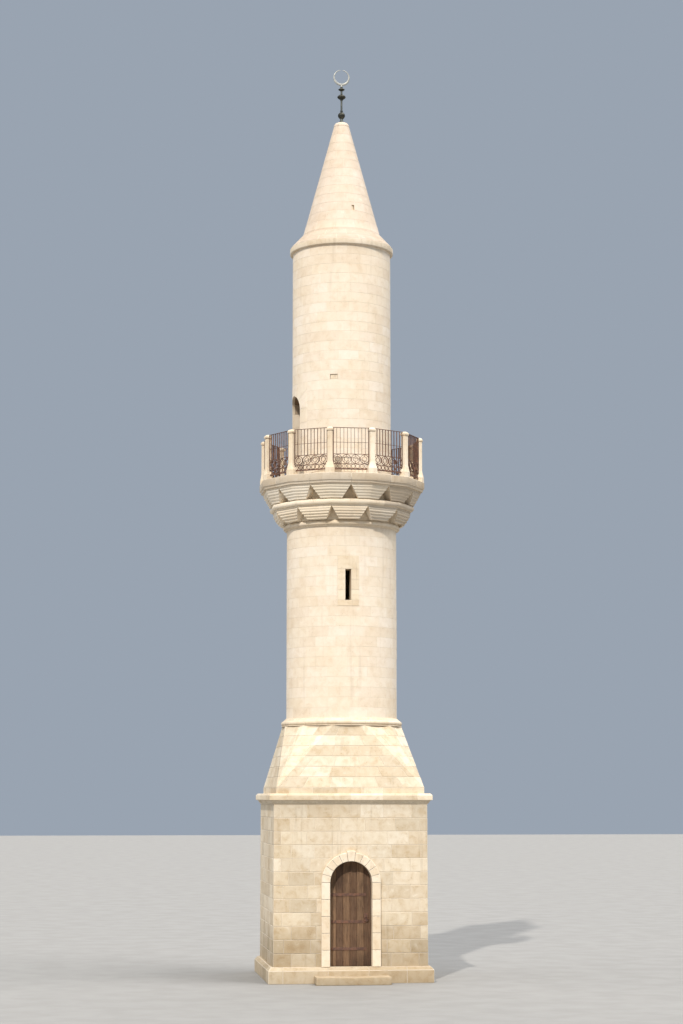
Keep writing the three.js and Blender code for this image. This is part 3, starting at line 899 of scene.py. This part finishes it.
def build_door_ironwork():
    """Strap hinges with their studs, rows of nails and a ring pull on its plate."""
    bm = bmesh.new()

    def stud(x, z, radius):
        made = bmesh.ops.create_uvsphere(bm, u_segments=10, v_segments=6, radius=radius)["verts"]
        bmesh.ops.scale(bm, vec=(1, 0.55, 1), verts=made)
        bmesh.ops.translate(bm, vec=(x, LEAF_FRONT - 0.004, z), verts=made)

    for z in STRAP_HEIGHTS:
        iron_bar(bm, (STRAP_MIDDLE, LEAF_FRONT - 0.0015, z), (0.68, 0.009, 0.055), 0.003)
        for i in range(8):
            stud(STRAP_MIDDLE - 0.3 + 0.6 * i / 7, z, 0.013)
    for z in NAIL_HEIGHTS:
        for x in NAIL_PLACES:
            stud(x, z, 0.011)
    iron_bar(bm, (0.3, LEAF_FRONT - 0.001, 1.2), (0.07, 0.008, 0.15), 0.003)
    iron_ring(bm, (0.3, LEAF_FRONT - 0.022, 1.165), 0.042, 0.006, 0.006, 15, 8)
    piece("door_ironwork", bm, iron)


# Transition and shaft

def transition_outline():
    """Twelve corners that run from the square's corners up to the round shoulder."""
    stations = []
    rise = TRANSITION_TOP - TRANSITION_FOOT
    for i in range(SIDES):
        head = radial(15 + 30 * i) * SHOULDER
        nearest = radial(45 + 90 * (i // 3)) * TRANSITION_HALF * math.sqrt(2)
        slope = (head - nearest) / rise
        stations.append((nearest - slope * TRANSITION_FOOT, slope + UP))
    return stations


def build_transition():
    stones = Stonework(21, square=True)
    square = flats(4)
    upright = stones.plain(TRANSITION_HALF, CORNICE_TOP, TRANSITION_FOOT)
    stones.course(square, upright, 0.47, start=0.2)
    corners = transition_outline()
    for row, (low, high) in enumerate(levels(TRANSITION_FOOT, TRANSITION_TOP, 6)):
        middle = (low + high) / 2
        points = [shift + rise * middle for shift, rise in corners]
        stations = []
        for i, (shift, rise) in enumerate(corners):
            before = (points[i] - points[i - 1]).cross(UP).normalized()
            after = (points[(i + 1) % SIDES] - points[i]).cross(UP).normalized()
            mitre = before + after
            stations.append(Station(mitre / mitre.dot(before), shift, rise))
        stones.course(stations, stones.plain(0.0, low, high), 0.46, start=0.11 + 0.23 * (row % 2))
    stones.finish("transition_stones", base_stone, crease=1)


def build_shaft_ring():
    stones = Stonework(22)
    foot = TRANSITION_TOP - 0.003
    section = [(SHAFT - SUNK, foot), (1.18, foot), (1.18, foot + 0.014),
               *roll(1.148, 0.034, foot + 0.018, 4.9),
               *reversed(cove((1.098, 4.952), (1.132, 4.904))), (SHAFT - SUNK, 4.952)]
    stones.course(ring(), section, 0.46)
    stones.finish("shaft_ring_stones", band_stone, arris=0.002, crease=40)


def slit_rows():
    """The first and last course that each slit's frame interrupts."""
    height = (SHAFT_TOP - SHAFT_FOOT) / SHAFT_COURSES
    rows = {}
    for side, sill in SLITS.items():
        first = math.floor((sill - 0.1 - SHAFT_FOOT) / height)
        last = math.ceil((sill + SLIT_HEIGHT + 0.12 - SHAFT_FOOT) / height)
        rows[side] = (first, last)
    return rows


def build_shaft():
    stones = Stonework(23, FINE_JOINT, FINE_PROUD)
    outline = ring(SHAFT_SEAM, WALL_ROUND)
    radius = SHAFT + FINE_PROUD
    rows = slit_rows()
    reach = radius * math.asin((SLIT_HALF + SLIT_FRAME) / radius)
    for row, (low, high) in enumerate(levels(SHAFT_FOOT, SHAFT_TOP, SHAFT_COURSES)):
        skips = []
        for side, (first, last) in rows.items():
            if first <= row < last:
                middle = math.radians(side - SHAFT_SEAM) * radius
                skips.append((middle - reach, middle + reach))
        section = stones.plain(SHAFT, low, high)
        stones.course(outline, section, 0.43, start=0.215 * (row % 2), skips=skips)
    stones.finish("shaft_stones", wall_stone, arris=FINE_ARRIS)


def build_slit_frames():
    """A sill, a lintel and three stones on either side, round each slit."""
    frames = Stonework(24)
    beds = levels(SHAFT_FOOT, SHAFT_TOP, SHAFT_COURSES)
    outer = SLIT_HALF + SLIT_FRAME
    inner = SLIT_HALF - REVEAL
    for side, (first, last) in slit_rows().items():
        bend = on_round(SHAFT, side)
        sill = SLITS[side]
        head = sill + SLIT_HEIGHT
        shapes = [block_outline(-outer, outer, beds[first][0], sill, FINE_JOINT),
                  block_outline(-outer, outer, head, beds[last - 1][1], FINE_JOINT)]
        for low, high in levels(sill, head, 3):
            shapes.append(block_outline(-outer, -inner, low, high, FINE_JOINT))
            shapes.append(block_outline(inner, outer, low, high, FINE_JOINT))
        for shape in shapes:
            frames.dressed(shape, -SLIT_DEPTH, SLIT_PROUD, bend, 0.08)
    frames.finish("slit_frames", band_stone, arris=0.003)


def build_neck():
    stones = Stonework(25)
    section = [(SHAFT - SUNK, SHAFT_TOP - 0.003), (1.1, SHAFT_TOP - 0.003),
               (1.1, SHAFT_TOP + 0.012),
               *roll(1.112, 0.044, SHAFT_TOP + 0.014, NECK_TOP - 0.012),
               (1.108, NECK_TOP + 0.003), (SHAFT - SUNK, NECK_TOP + 0.003)]
    stones.course(ring(), section, 0.45)
    stones.finish("neck_ring_stones", band_stone, arris=0.002, crease=40)


# Balcony

def stepped(line, foot, top):
    """A slope of (outward, height) points turned into stacked fillets."""
    count = 5
    proud = 0.004

    def at(height):
        for (w0, z0), (w1, z1) in zip(line, line[1:]):
            if z0 <= height <= z1:
                return w0 + (w1 - w0) * (height - z0) / (z1 - z0)
        return line[-1][0]

    outline = []
    for low, high in levels(foot, top, count):
        outward = at(high) + proud
        if not outline:
            outline.append((at(low) + proud, low))
        outline.append((outward - 0.006, low + 0.008))
        outline.append((outward, low + 0.02))
        outline.append((outward, high - 0.003))
    return outline


def shade_corbel_right(face):
    """Painted shade on the corbel's right side, rising from none on its front and left."""
    middle = face.calc_center_median()
    rightward = middle.x / middle.xy.length
    return CORBEL_RIGHT_PAINTED_SHADE * max(0.0, min(1.0, (rightward - 0.3) / 0.3))


def corner_course(stones, section, reach):
    """A course of one block to each of the balcony's corners, jointed in mid-side."""
    length = 2 * reach * TILT
    stones.course(flats(SIDES), section, length, start=length / 2, loose=0.0)


def to_side(profile):
    """A profile measured to the corners, remeasured to the flat sides."""
    return [(radius * TO_SIDE, height) for radius, height in profile]


def cap_section(inner, reach, apex, top):
    """The flat course that a tier's brackets carry."""
    return [(inner, apex + 0.002), (reach, apex + 0.002), (reach, top - 0.001),
            (inner, top - 0.001)]


def build_upper_tier():
    """Brackets under the posts, parted by pointed recesses in the middle of each side."""
    stones = Stonework(31)
    line = to_side([(1.41, TIER_FOOT), (1.43, 9.14), (1.507, 9.27), (1.565, 9.37),
                    (1.578, TIER_TOP)])
    apex = TIER_TOP - 0.02
    half = 0.157
    lean = half / (apex - TIER_FOOT)
    back = 1.225
    face = stepped(line, TIER_FOOT + 0.001, apex)
    section = [(back, TIER_FOOT + 0.001)] + face + [(back, apex)]
    corners = flats(SIDES)
    for i in range(SIDES):
        ends = []
        for side, sign in ((SIDE_ANGLE * i, 1), (SIDE_ANGLE * (i + 1), -1)):
            along = radial(side + 90)
            foot = along * sign * (half + lean * TIER_FOOT + 0.001)
            ends.append(Station(radial(side), foot, UP - along * sign * lean))
        stones.block(section, [ends[0], corners[i], ends[1]])
    cap = cap_section(1.40, line[-1][0] + 0.006, apex, TIER_TOP)
    corner_course(stones, cap, 1.53)
    stones.soil_and_shade(shade_corbel_right)
    stones.finish("corbel_bracket_stones", corbel_stone_painted_light, arris=0.003)


def build_band():
    stones = Stonework(32)
    foot = BAND_FOOT + 0.002
    top = TIER_FOOT - 0.002
    section = [(1.30, foot), *roll(1.356, 0.042, foot, top), (1.30, top)]
    corner_course(stones, section, 1.39)
    stones.soil_and_shade(shade_corbel_right)
    stones.finish("corbel_band_stones", corbel_stone_painted_light, arris=0.002, crease=40)


def build_lower_tier():
    """Brackets in the middle of each side, parted by pointed recesses at the corners."""
    stones = Stonework(33)
    line = to_side([(1.16, NECK_TOP), (1.185, 8.78), (1.29, 8.88), (1.36, 8.975),
                    (1.372, BAND_FOOT)])
    apex = BAND_FOOT - 0.03
    half = 0.122
    lean = half / (apex - NECK_TOP)
    back = 1.105
    face = stepped(line, NECK_TOP + 0.001, apex)
    section = [(back, NECK_TOP + 0.001)] + face + [(back, apex)]
    for i in range(SIDES):
        ends = []
        for corner, sign in ((SIDE_ANGLE * (i - 0.5), 1), (SIDE_ANGLE * (i + 0.5), -1)):
            out = radial(corner)
            off = radial(corner + 90) * sign + out * TILT
            foot = off * (half + lean * NECK_TOP + 0.001)
            ends.append(Station(out / TO_SIDE, foot, UP - off * lean))
        stones.block(section, ends)
    cap = cap_section(1.2, line[-1][0] + 0.006, apex, BAND_FOOT)
    stones.course(flats(SIDES), cap, 2 * 1.33 * TILT, loose=0.0)
    stones.soil_and_shade(shade_corbel_right)
    stones.finish("lower_bracket_stones", corbel_stone_painted_light, arris=0.003)


def build_balcony_slab():
    stones = Stonework(34)
    edge = SLAB_CORNER * TO_SIDE + 0.004
    section = [
        (1.50, TIER_TOP + 0.002),
        (edge - 0.028, TIER_TOP + 0.002),
        (edge - 0.028, TIER_TOP + 0.03),
        *cove((edge - 0.024, TIER_TOP + 0.034), (edge - 0.008, TIER_TOP + 0.052), 4),
        (edge, TIER_TOP + 0.056),
        (edge, FLOOR + 0.005),
        (PAVING_EDGE, FLOOR + 0.005),
        (PAVING_EDGE, FLOOR - 0.02),
        (1.50, FLOOR - 0.02),
    ]
    corner_course(stones, section, edge)
    stones.soil_and_shade(lambda face: SLAB_GRIME)
    stones.finish("balcony_edge_stones", band_stone, arris=0.005)


def build_paving():
    """Two slabs a side on the walkway, from the drum to the edge stones."""
    slabs = Stonework(35)
    outer = PAVING_EDGE - JOINT
    section = [(0.94, FLOOR - 0.01), (outer, FLOOR - 0.01), (outer, FLOOR + 0.005),
               (0.94, FLOOR + 0.005)]
    slabs.course(flats(SIDES), section, PAVING_EDGE * TILT, loose=0.0)
    slabs.finish("balcony_paving", paving)


def post_section(half, foot):
    """A post's outline, its arrises cut and its front following the slab's corner at the foot."""
    cut = 0.006
    front = -POST_RADIUS - half
    side_front = front + foot * math.tan(math.pi / SIDES)
    back = -POST_RADIUS + half - foot * 0.2
    nose = side_front - (half - cut) * math.tan(math.pi / SIDES) * (1 if foot else 0)
    return [
        (half - cut, back), (half, back - cut), (half, side_front + cut), (half - cut, side_front),
        (0, nose), (cut - half, side_front), (-half, side_front + cut), (-half, back - cut),
        (cut - half, back),
    ]


def build_posts():
    """Square posts on a spreading foot, with a necked and moulded cap."""
    bm = bmesh.new()
    stone_layers(bm)
    rungs = [(0.0, 0.088, 0.088), (0.104, 0.088, 0.088), (0.112, 0.083, 0.083), (0.232, 0.052, 0.0)]
    rungs += [(height, half, 0.0) for half, height in (
        (0.05, 0.242), (0.05, 0.802), (0.0465, 0.806), (0.0465, 0.816), (0.056, 0.822),
        (0.062, 0.832), (0.064, 0.845), (0.064, 0.862), (0.058, 0.868), (0.047, 0.884),
        (0.03, 0.896), (0.014, 0.9))]
    face = None
    for height, half, foot in rungs:
        corners = post_section(half, foot)
        if face is None:
            face = bm.faces.new([bm.verts.new((x, y, FLOOR + height)) for x, y in corners])
            continue
        face = drawn_out(bm, face)
        for corner, (x, y) in zip(face.verts, corners):
            corner.co = Vector((x, y, FLOOR + height))
    bmesh.ops.recalc_face_normals(bm, faces=bm.faces)
    repeated("stone_post", bm, band_stone, "balcony_post", SIDE_ANGLE / 2, 28,
             random.Random(41))


def build_railing():
    """A wrought panel: small rings at the foot, double rings on them, and close upright bars."""
    bm = bmesh.new()
    length = 2 * PANEL_HALF
    iron_bar(bm, (0, 0, PANEL_FOOT + 0.016), (length, 0.022, 0.026), 0.004)
    iron_bar(bm, (0, 0, 0.888), (length, 0.026, 0.009), 0.003)
    iron_bar(bm, (0, 0, 0.602), (length, 0.014, 0.006), 0.0015)
    rails = (0.185, 0.375)
    for z in rails:
        iron_bar(bm, (0, 0, z), (length, 0.022, 0.009))
    for x in (-PANEL_HALF + 0.007, PANEL_HALF - 0.007):
        iron_bar(bm, (x, 0, 0.4855), (0.014, 0.018, 0.801))
    for i in range(1, PANEL_BARS):
        x = -PANEL_HALF + length * i / PANEL_BARS
        for low, high in ((0.378, 0.6), (0.603, 0.887)):
            iron_bar(bm, (x, 0, (low + high) / 2), (0.0065, 0.02, high - low), 0)
    double = (rails[0] + rails[1]) / 2
    for i in range(PANEL_RINGS):
        x = -PANEL_HALF + length * (i + 0.5) / PANEL_RINGS
        iron_ring(bm, (x, 0, double), 0.0835, 0.0062, 0.012, 16)
        iron_ring(bm, (x, 0, double), 0.046, 0.005, 0.01, 12)
        for z in (0.215, 0.345):
            iron_bar(bm, (x, 0, z), (0.007, 0.014, 0.042), 0)
    for i in range(2 * PANEL_RINGS):
        x = -PANEL_HALF + length * (i + 0.5) / (2 * PANEL_RINGS)
        iron_ring(bm, (x, 0, 0.1397), 0.0385, 0.0045, 0.01, 12)
    bmesh.ops.recalc_face_normals(bm, faces=bm.faces)
    bmesh.ops.translate(bm, vec=(0, -POST_RADIUS * TO_SIDE, FLOOR), verts=bm.verts)
    repeated("iron_panel", bm, iron, "railing_panel")


# Drum and roof

def doorway_top():
    """The bed that the doorway's square panel ends at."""
    beds = levels(FLOOR, DRUM_TOP, DRUM_COURSES)
    return next(high for _, high in beds if high > DOORWAY_SPRING + DOORWAY_HALF + 0.12)


def doorway_head():
    """Arch stones in a square panel over the balcony doorway."""
    top = doorway_top()
    outer = DOORWAY_HALF + DOORWAY_FRAME
    inner = DOORWAY_HALF - LINING
    joints = [0, 36, 68, 112, 144, 180]

    def edge(angle):
        cos = math.cos(angle)
        sin = math.sin(angle)
        reach = min(outer / max(abs(cos), 1e-6), (top - DOORWAY_SPRING) / max(sin, 1e-6))
        return (reach * cos, DOORWAY_SPRING + reach * sin)

    corner = math.atan2(top - DOORWAY_SPRING, outer)
    outlines = []
    for low, high in zip(joints, joints[1:]):
        start = math.radians(low) + FINE_JOINT / 2 / inner
        end = math.radians(high) - FINE_JOINT / 2 / inner
        arc = [start + (end - start) * i / 6 for i in range(7)]
        outline = [(inner * math.cos(a), DOORWAY_SPRING + inner * math.sin(a)) for a in arc]
        outline.append(edge(math.radians(high) - FINE_JOINT / 2 / outer))
        for turn in (math.pi - corner, corner):
            if math.radians(low) < turn < math.radians(high):
                outline.append(edge(turn))
        outline.append(edge(math.radians(low) + FINE_JOINT / 2 / outer))
        outlines.append(outline)
    return outlines


def build_drum():
    beds = levels(FLOOR, DRUM_TOP, DRUM_COURSES)
    stones = Stonework(51, FINE_JOINT, FINE_PROUD)
    outline = ring(DOORWAY_SIDE, WALL_ROUND)
    radius = DRUM + FINE_PROUD
    total = 2 * math.pi * radius
    reach = radius * math.asin((DOORWAY_HALF + DOORWAY_FRAME) / radius)
    hole_middle = math.radians(DRUM_HOLE_SIDE - DOORWAY_SIDE) * radius
    hole_half = 0.075
    for row, (low, high) in enumerate(beds):
        skips = []
        if low < doorway_top() - 0.01:
            skips.append((total - reach, total + reach))
        if low < DRUM_HOLE_HEIGHT < high:
            skips.append((hole_middle - hole_half, hole_middle + hole_half))
        section = stones.plain(DRUM, low, high)
        stones.course(outline, section, 0.41, start=0.2 * (row % 2), skips=skips)
    bed = next(high for low, high in beds if low < DRUM_HOLE_HEIGHT < high)
    half = hole_half - FINE_JOINT / 2
    lintel = stones.plain(DRUM, DRUM_HOLE_HEIGHT + 0.046, bed)
    stones.lay(outline, lintel, hole_middle - half, hole_middle + half)
    stones.finish("drum_stones", wall_stone, arris=FINE_ARRIS)


def build_doorway():
    """Stones up both sides of the doorway and over it, with painted shade inside the arch."""
    frames = Stonework(52, FINE_JOINT, FINE_PROUD)
    bend = on_round(DRUM, DOORWAY_SIDE)
    outer = DOORWAY_HALF + DOORWAY_FRAME
    inner = DOORWAY_HALF - LINING
    for low, high in levels(FLOOR + 0.004, DOORWAY_SPRING, 5):
        for ends in ((-outer, -inner), (inner, outer)):
            shape = block_outline(*ends, low, high, FINE_JOINT)
            frames.dressed(shape, -DOORWAY_DEPTH, DOORWAY_PROUD, bend, 0.07)
    # Painted shade inside the arch, deepest over the middle stones, with a band behind the front
    # left light.
    for shape, grime_and_painted_shade in zip(doorway_head(), ARCH_PAINTED_SHADE):
        frames.dressed(shape, -DOORWAY_DEPTH, DOORWAY_PROUD, bend, 0.07, grime_and_painted_shade, painted_lit_band=0.05)
    frames.finish("doorway_stones", wall_stone, arris=0.0025)


def build_eave():
    stones = Stonework(53, FINE_JOINT)
    z = DRUM_TOP
    section = [
        (DRUM - 0.02, z - 0.003), (1.02, z - 0.003), (1.036, z + 0.013),
        (1.036, EAVE_TOP - 0.002), (DRUM - 0.02, EAVE_TOP - 0.002),
    ]
    stones.course(ring(), section, 0.42, loose=0.04)
    stones.finish("eave_stones", band_stone, arris=0.0025)


def cone_radius(height):
    return CONE_FOOT_RADIUS - CONE_SLOPE * (height - CONE_FOOT)


def cone_section(low, high):
    """A roof block's section between two heights of the cone."""
    half = FINE_JOINT / 2
    wide = cone_radius(low)
    narrow = cone_radius(high)
    return [(wide - SUNK, low + half), (wide + FINE_PROUD, low + half),
            (narrow + FINE_PROUD, high - half), (narrow - SUNK, high - half)]


def build_roof():
    stones = Stonework(54, FINE_JOINT, FINE_PROUD)
    outline = ring()
    foot = EAVE_TOP + 0.001
    skirt = [
        [(0.9, foot), (1.034, foot), (1.003, 14.41), (0.937, 14.479), (0.9, 14.479)],
        [(0.785, 14.481), (0.936, 14.481), (0.821, 14.604), (0.785, 14.604)],
        [(0.7, 14.606), (0.819, 14.606), (0.774, 14.66), (0.728, 14.839), (0.7, 14.839)],
    ]
    for row, shape in enumerate(skirt):
        stones.course(outline, shape, 0.43, start=0.2 * (1 - row % 2))
    # Painted shade on the skirt's level faces, toning down the upward ones that face the lamps.
    stones.soil_and_shade(lambda face: SKIRT_PAINTED_SHADE if abs(face.normal.z) > 0.5 else 0.0)
    turn = math.radians(ROOF_HOLE_SIDE)
    over_hole = ROOF_HOLE_HEIGHT + 0.052
    for row, (low, high) in enumerate(levels(CONE_COURSES_FOOT, CONE_COURSES_TOP, 11)):
        skips = ()
        if low < ROOF_HOLE_HEIGHT < high:
            reach = (cone_radius(low) + FINE_PROUD) * turn
            skips = [(reach - 0.028, reach + 0.028)]
            reach = (cone_radius(over_hole) + FINE_PROUD) * turn
            stones.lay(outline, cone_section(over_hole, high), reach - 0.026, reach + 0.026)
        length = max(0.24, min(0.4, 2 * math.pi * cone_radius(low) / 5))
        start = length / 2 * (row % 2)
        stones.course(outline, cone_section(low, high), length, start=start, skips=skips)
    stones.finish("roof_stones", roof_stone_painted_shade, arris=FINE_ARRIS)


def build_hole_plugs():
    """Stones that fill the two old pole holes part way."""
    plugs = Stonework(55, FINE_JOINT)
    shape = block_outline(-0.073, 0.073, DRUM_HOLE_HEIGHT - 0.045, DRUM_HOLE_HEIGHT + 0.045)
    plugs.dressed(shape, -0.098, -0.014, on_round(DRUM, DRUM_HOLE_SIDE))
    shape = block_outline(-0.024, 0.024, ROOF_HOLE_HEIGHT - 0.05, ROOF_HOLE_HEIGHT + 0.05)
    plugs.dressed(shape, -0.07, -0.028, on_round(0.645, ROOF_HOLE_SIDE))
    plugs.finish("filled_pole_holes", band_stone)


def build_roof_tip():
    bm = bmesh.new()
    stone_layers(bm)
    tip = [(0.0, 16.944), (0.158, 16.944), (0.152, 16.972), (0.14, 16.995), (0.122, 17.014),
           (0.09, 17.028), (0.06, 17.034), (0.0, 17.034)]
    turned(bm, tip, 32)
    piece("roof_tip_stone", bm, roof_stone_painted_shade)


# Finial

SPINDLE = [
    (0.0, 0.0), (0.058, 0.0), (0.06, 0.008), (0.052, 0.018), (0.044, 0.026), (0.034, 0.05),
    (0.029, 0.078), (0.034, 0.084), (0.034, 0.092), (0.022, 0.098), (0.022, 0.245),
    (0.03, 0.25), (0.03, 0.262), (0.02, 0.268), (0.019, 0.47), (0.028, 0.476),
    (0.028, 0.488), (0.02, 0.494), (0.02, 0.745), (0.026, 0.75), (0.022, 0.765), (0.0, 0.765)]
CRESCENT_STEM = [
    (0.0, 0.765), (0.02, 0.765), (0.024, 0.772), (0.017, 0.782), (0.016, 0.8), (0.0, 0.8)]
BULBS = {
    "lower": (0.16, [
        (0.0, -0.07), (0.03, -0.07), (0.052, -0.052), (0.068, -0.026), (0.073, 0.0),
        (0.068, 0.026), (0.052, 0.05), (0.036, 0.062), (0.026, 0.074), (0.0, 0.074)]),
    "middle": (0.55, [
        (0.0, -0.054), (0.026, -0.054), (0.05, -0.042), (0.072, -0.024), (0.084, -0.008),
        (0.086, 0.0), (0.084, 0.008), (0.072, 0.024), (0.05, 0.041), (0.032, 0.05),
        (0.024, 0.056), (0.0, 0.056)]),
    "upper": (0.71, [
        (0.0, -0.03), (0.024, -0.03), (0.046, -0.02), (0.062, -0.006), (0.066, 0.0),
        (0.062, 0.006), (0.046, 0.018), (0.024, 0.028), (0.0, 0.028)]),
}


def raised(profile, height):
    return [(radius, z + height) for radius, z in profile]


def build_finial():
    bm = bmesh.new()
    turned(bm, raised(SPINDLE, CONE_TIP), 20)
    piece("finial_spindle", bm, grey_iron, ["finial_rod"])
    for name, (middle, profile) in BULBS.items():
        bm = bmesh.new()
        turned(bm, raised(profile, CONE_TIP + middle), 28)
        piece(f"finial_bulb_{name}", bm, bronze, [f"finial_ball_{name}"],
              crease=60)


def build_crescent():
    """A ring open at the top, thickest at the foot, on a short turned stem."""
    bm = bmesh.new()
    turned(bm, raised(CRESCENT_STEM, CONE_TIP), 16)
    middle = CONE_TIP + 0.957
    outer = 0.17
    hollow = 0.136
    offset = 0.02
    opening = 18
    steps = 36
    frames = []
    for i in range(steps + 1):
        angle = math.radians(90 - opening / 2 - (360 - opening) * i / steps)
        direction = Vector((math.cos(angle), 0, math.sin(angle)))
        rise = offset * math.sin(angle)
        inner = rise + math.sqrt(rise ** 2 - offset ** 2 + hollow ** 2)
        half = (outer - inner) / 2
        depth = 0.006 + 0.007 * min(1.0, half / 0.03)
        place = Matrix.Translation(Vector((0, 0, middle)) + direction * (outer + inner) / 2)
        turn = Matrix.Rotation(-angle, 4, "Y")
        frames.append(place @ turn @ Matrix.Diagonal((half, depth, 1, 1)))
    sweep(bm, frames, 10)
    bmesh.ops.recalc_face_normals(bm, faces=bm.faces)
    piece("crescent", bm, pale_bronze, ["finial_crescent"], crease=60)


build_plinth()
build_base_walls()
build_base_cornice()
build_entrance()
build_step()
build_door()
build_door_ironwork()
build_transition()
build_shaft_ring()
build_shaft()
build_slit_frames()
build_neck()
build_upper_tier()
build_band()
build_lower_tier()
build_balcony_slab()
build_paving()
build_posts()
build_railing()
build_drum()
build_doorway()
build_eave()
build_roof()
build_hole_plugs()
build_roof_tip()
build_finial()
build_crescent()

# The corbel's core takes the lighter mortar, painted light for its shaded recesses; the rest takes
# plain mortar.
for name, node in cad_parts.items():
    node.data.materials.clear()
    node.data.materials.append(core_mortar_painted_light if name.startswith("corbel") else mortar)


# Floor, light and camera

EYE_SIDE = -7
EYE_DISTANCE = 42
EYE_HEIGHT = 3.46
AIM_HEIGHT = 9.05
LENS = 75


def build_stage():
    bm = bmesh.new()
    bmesh.ops.create_grid(bm, x_segments=1, y_segments=1, size=150)
    mesh = bpy.data.meshes.new("floor")
    bm.to_mesh(mesh)
    bm.free()
    ground = Finish("pale_floor")
    fleck = ground.noise(1.5, 6.0)
    colour = ground.mix(ground.span(fleck, 0.3, 0.7), srgb(143, 141, 137), srgb(138, 136, 132))
    roughness = ground.span(fleck, 0.3, 0.7, 0.8, 0.9)
    mesh.materials.append(ground.done(colour, roughness, ground.bump(fleck, 0.002)))
    floor = bpy.data.objects.new("floor", mesh)
    bpy.context.scene.collection.objects.link(floor)


def add_sun(name, side, elevation, energy, angle, colour):
    light = bpy.data.lights.new(name, "SUN")
    light.energy = energy
    light.angle = math.radians(angle)
    light.color = colour
    lamp = bpy.data.objects.new(name, light)
    tilt = math.radians(elevation)
    towards = radial(side) * math.cos(tilt) + UP * math.sin(tilt)
    lamp.rotation_euler = towards.to_track_quat("Z", "Y").to_euler()
    bpy.context.scene.collection.objects.link(lamp)


def light_and_camera():
    scene = bpy.context.scene
    world = bpy.data.worlds.new("soft_daylight")
    world.use_nodes = True
    background = world.node_tree.nodes["Background"]
    background.inputs["Color"].default_value = (0.64, 0.74, 0.88, 1)
    background.inputs["Strength"].default_value = 0.5
    scene.world = world
    add_sun("key", -22, 41, 3.05, 1.2, (1.0, 0.95, 0.89))
    add_sun("fill", 66, 62, 2.65, 35, (1.0, 0.98, 0.97))
    add_sun("left_fill", -92, 48, 0.8, 50, (1.0, 0.98, 0.97))
    add_sun("back_fill", 165, 45, 0.9, 60, (1.0, 0.98, 0.96))
    scene.view_settings.view_transform = "Standard"

    camera = bpy.data.cameras.new("camera")
    camera.sensor_fit = "VERTICAL"
    camera.sensor_height = 36
    camera.lens = LENS
    eye = bpy.data.objects.new("camera", camera)
    place = radial(EYE_SIDE) * EYE_DISTANCE + UP * EYE_HEIGHT
    aim = UP * AIM_HEIGHT
    eye.location = place
    eye.rotation_euler = (aim - place).to_track_quat("-Z", "Y").to_euler()
    scene.collection.objects.link(eye)
    scene.camera = eye


build_stage()
light_and_camera()
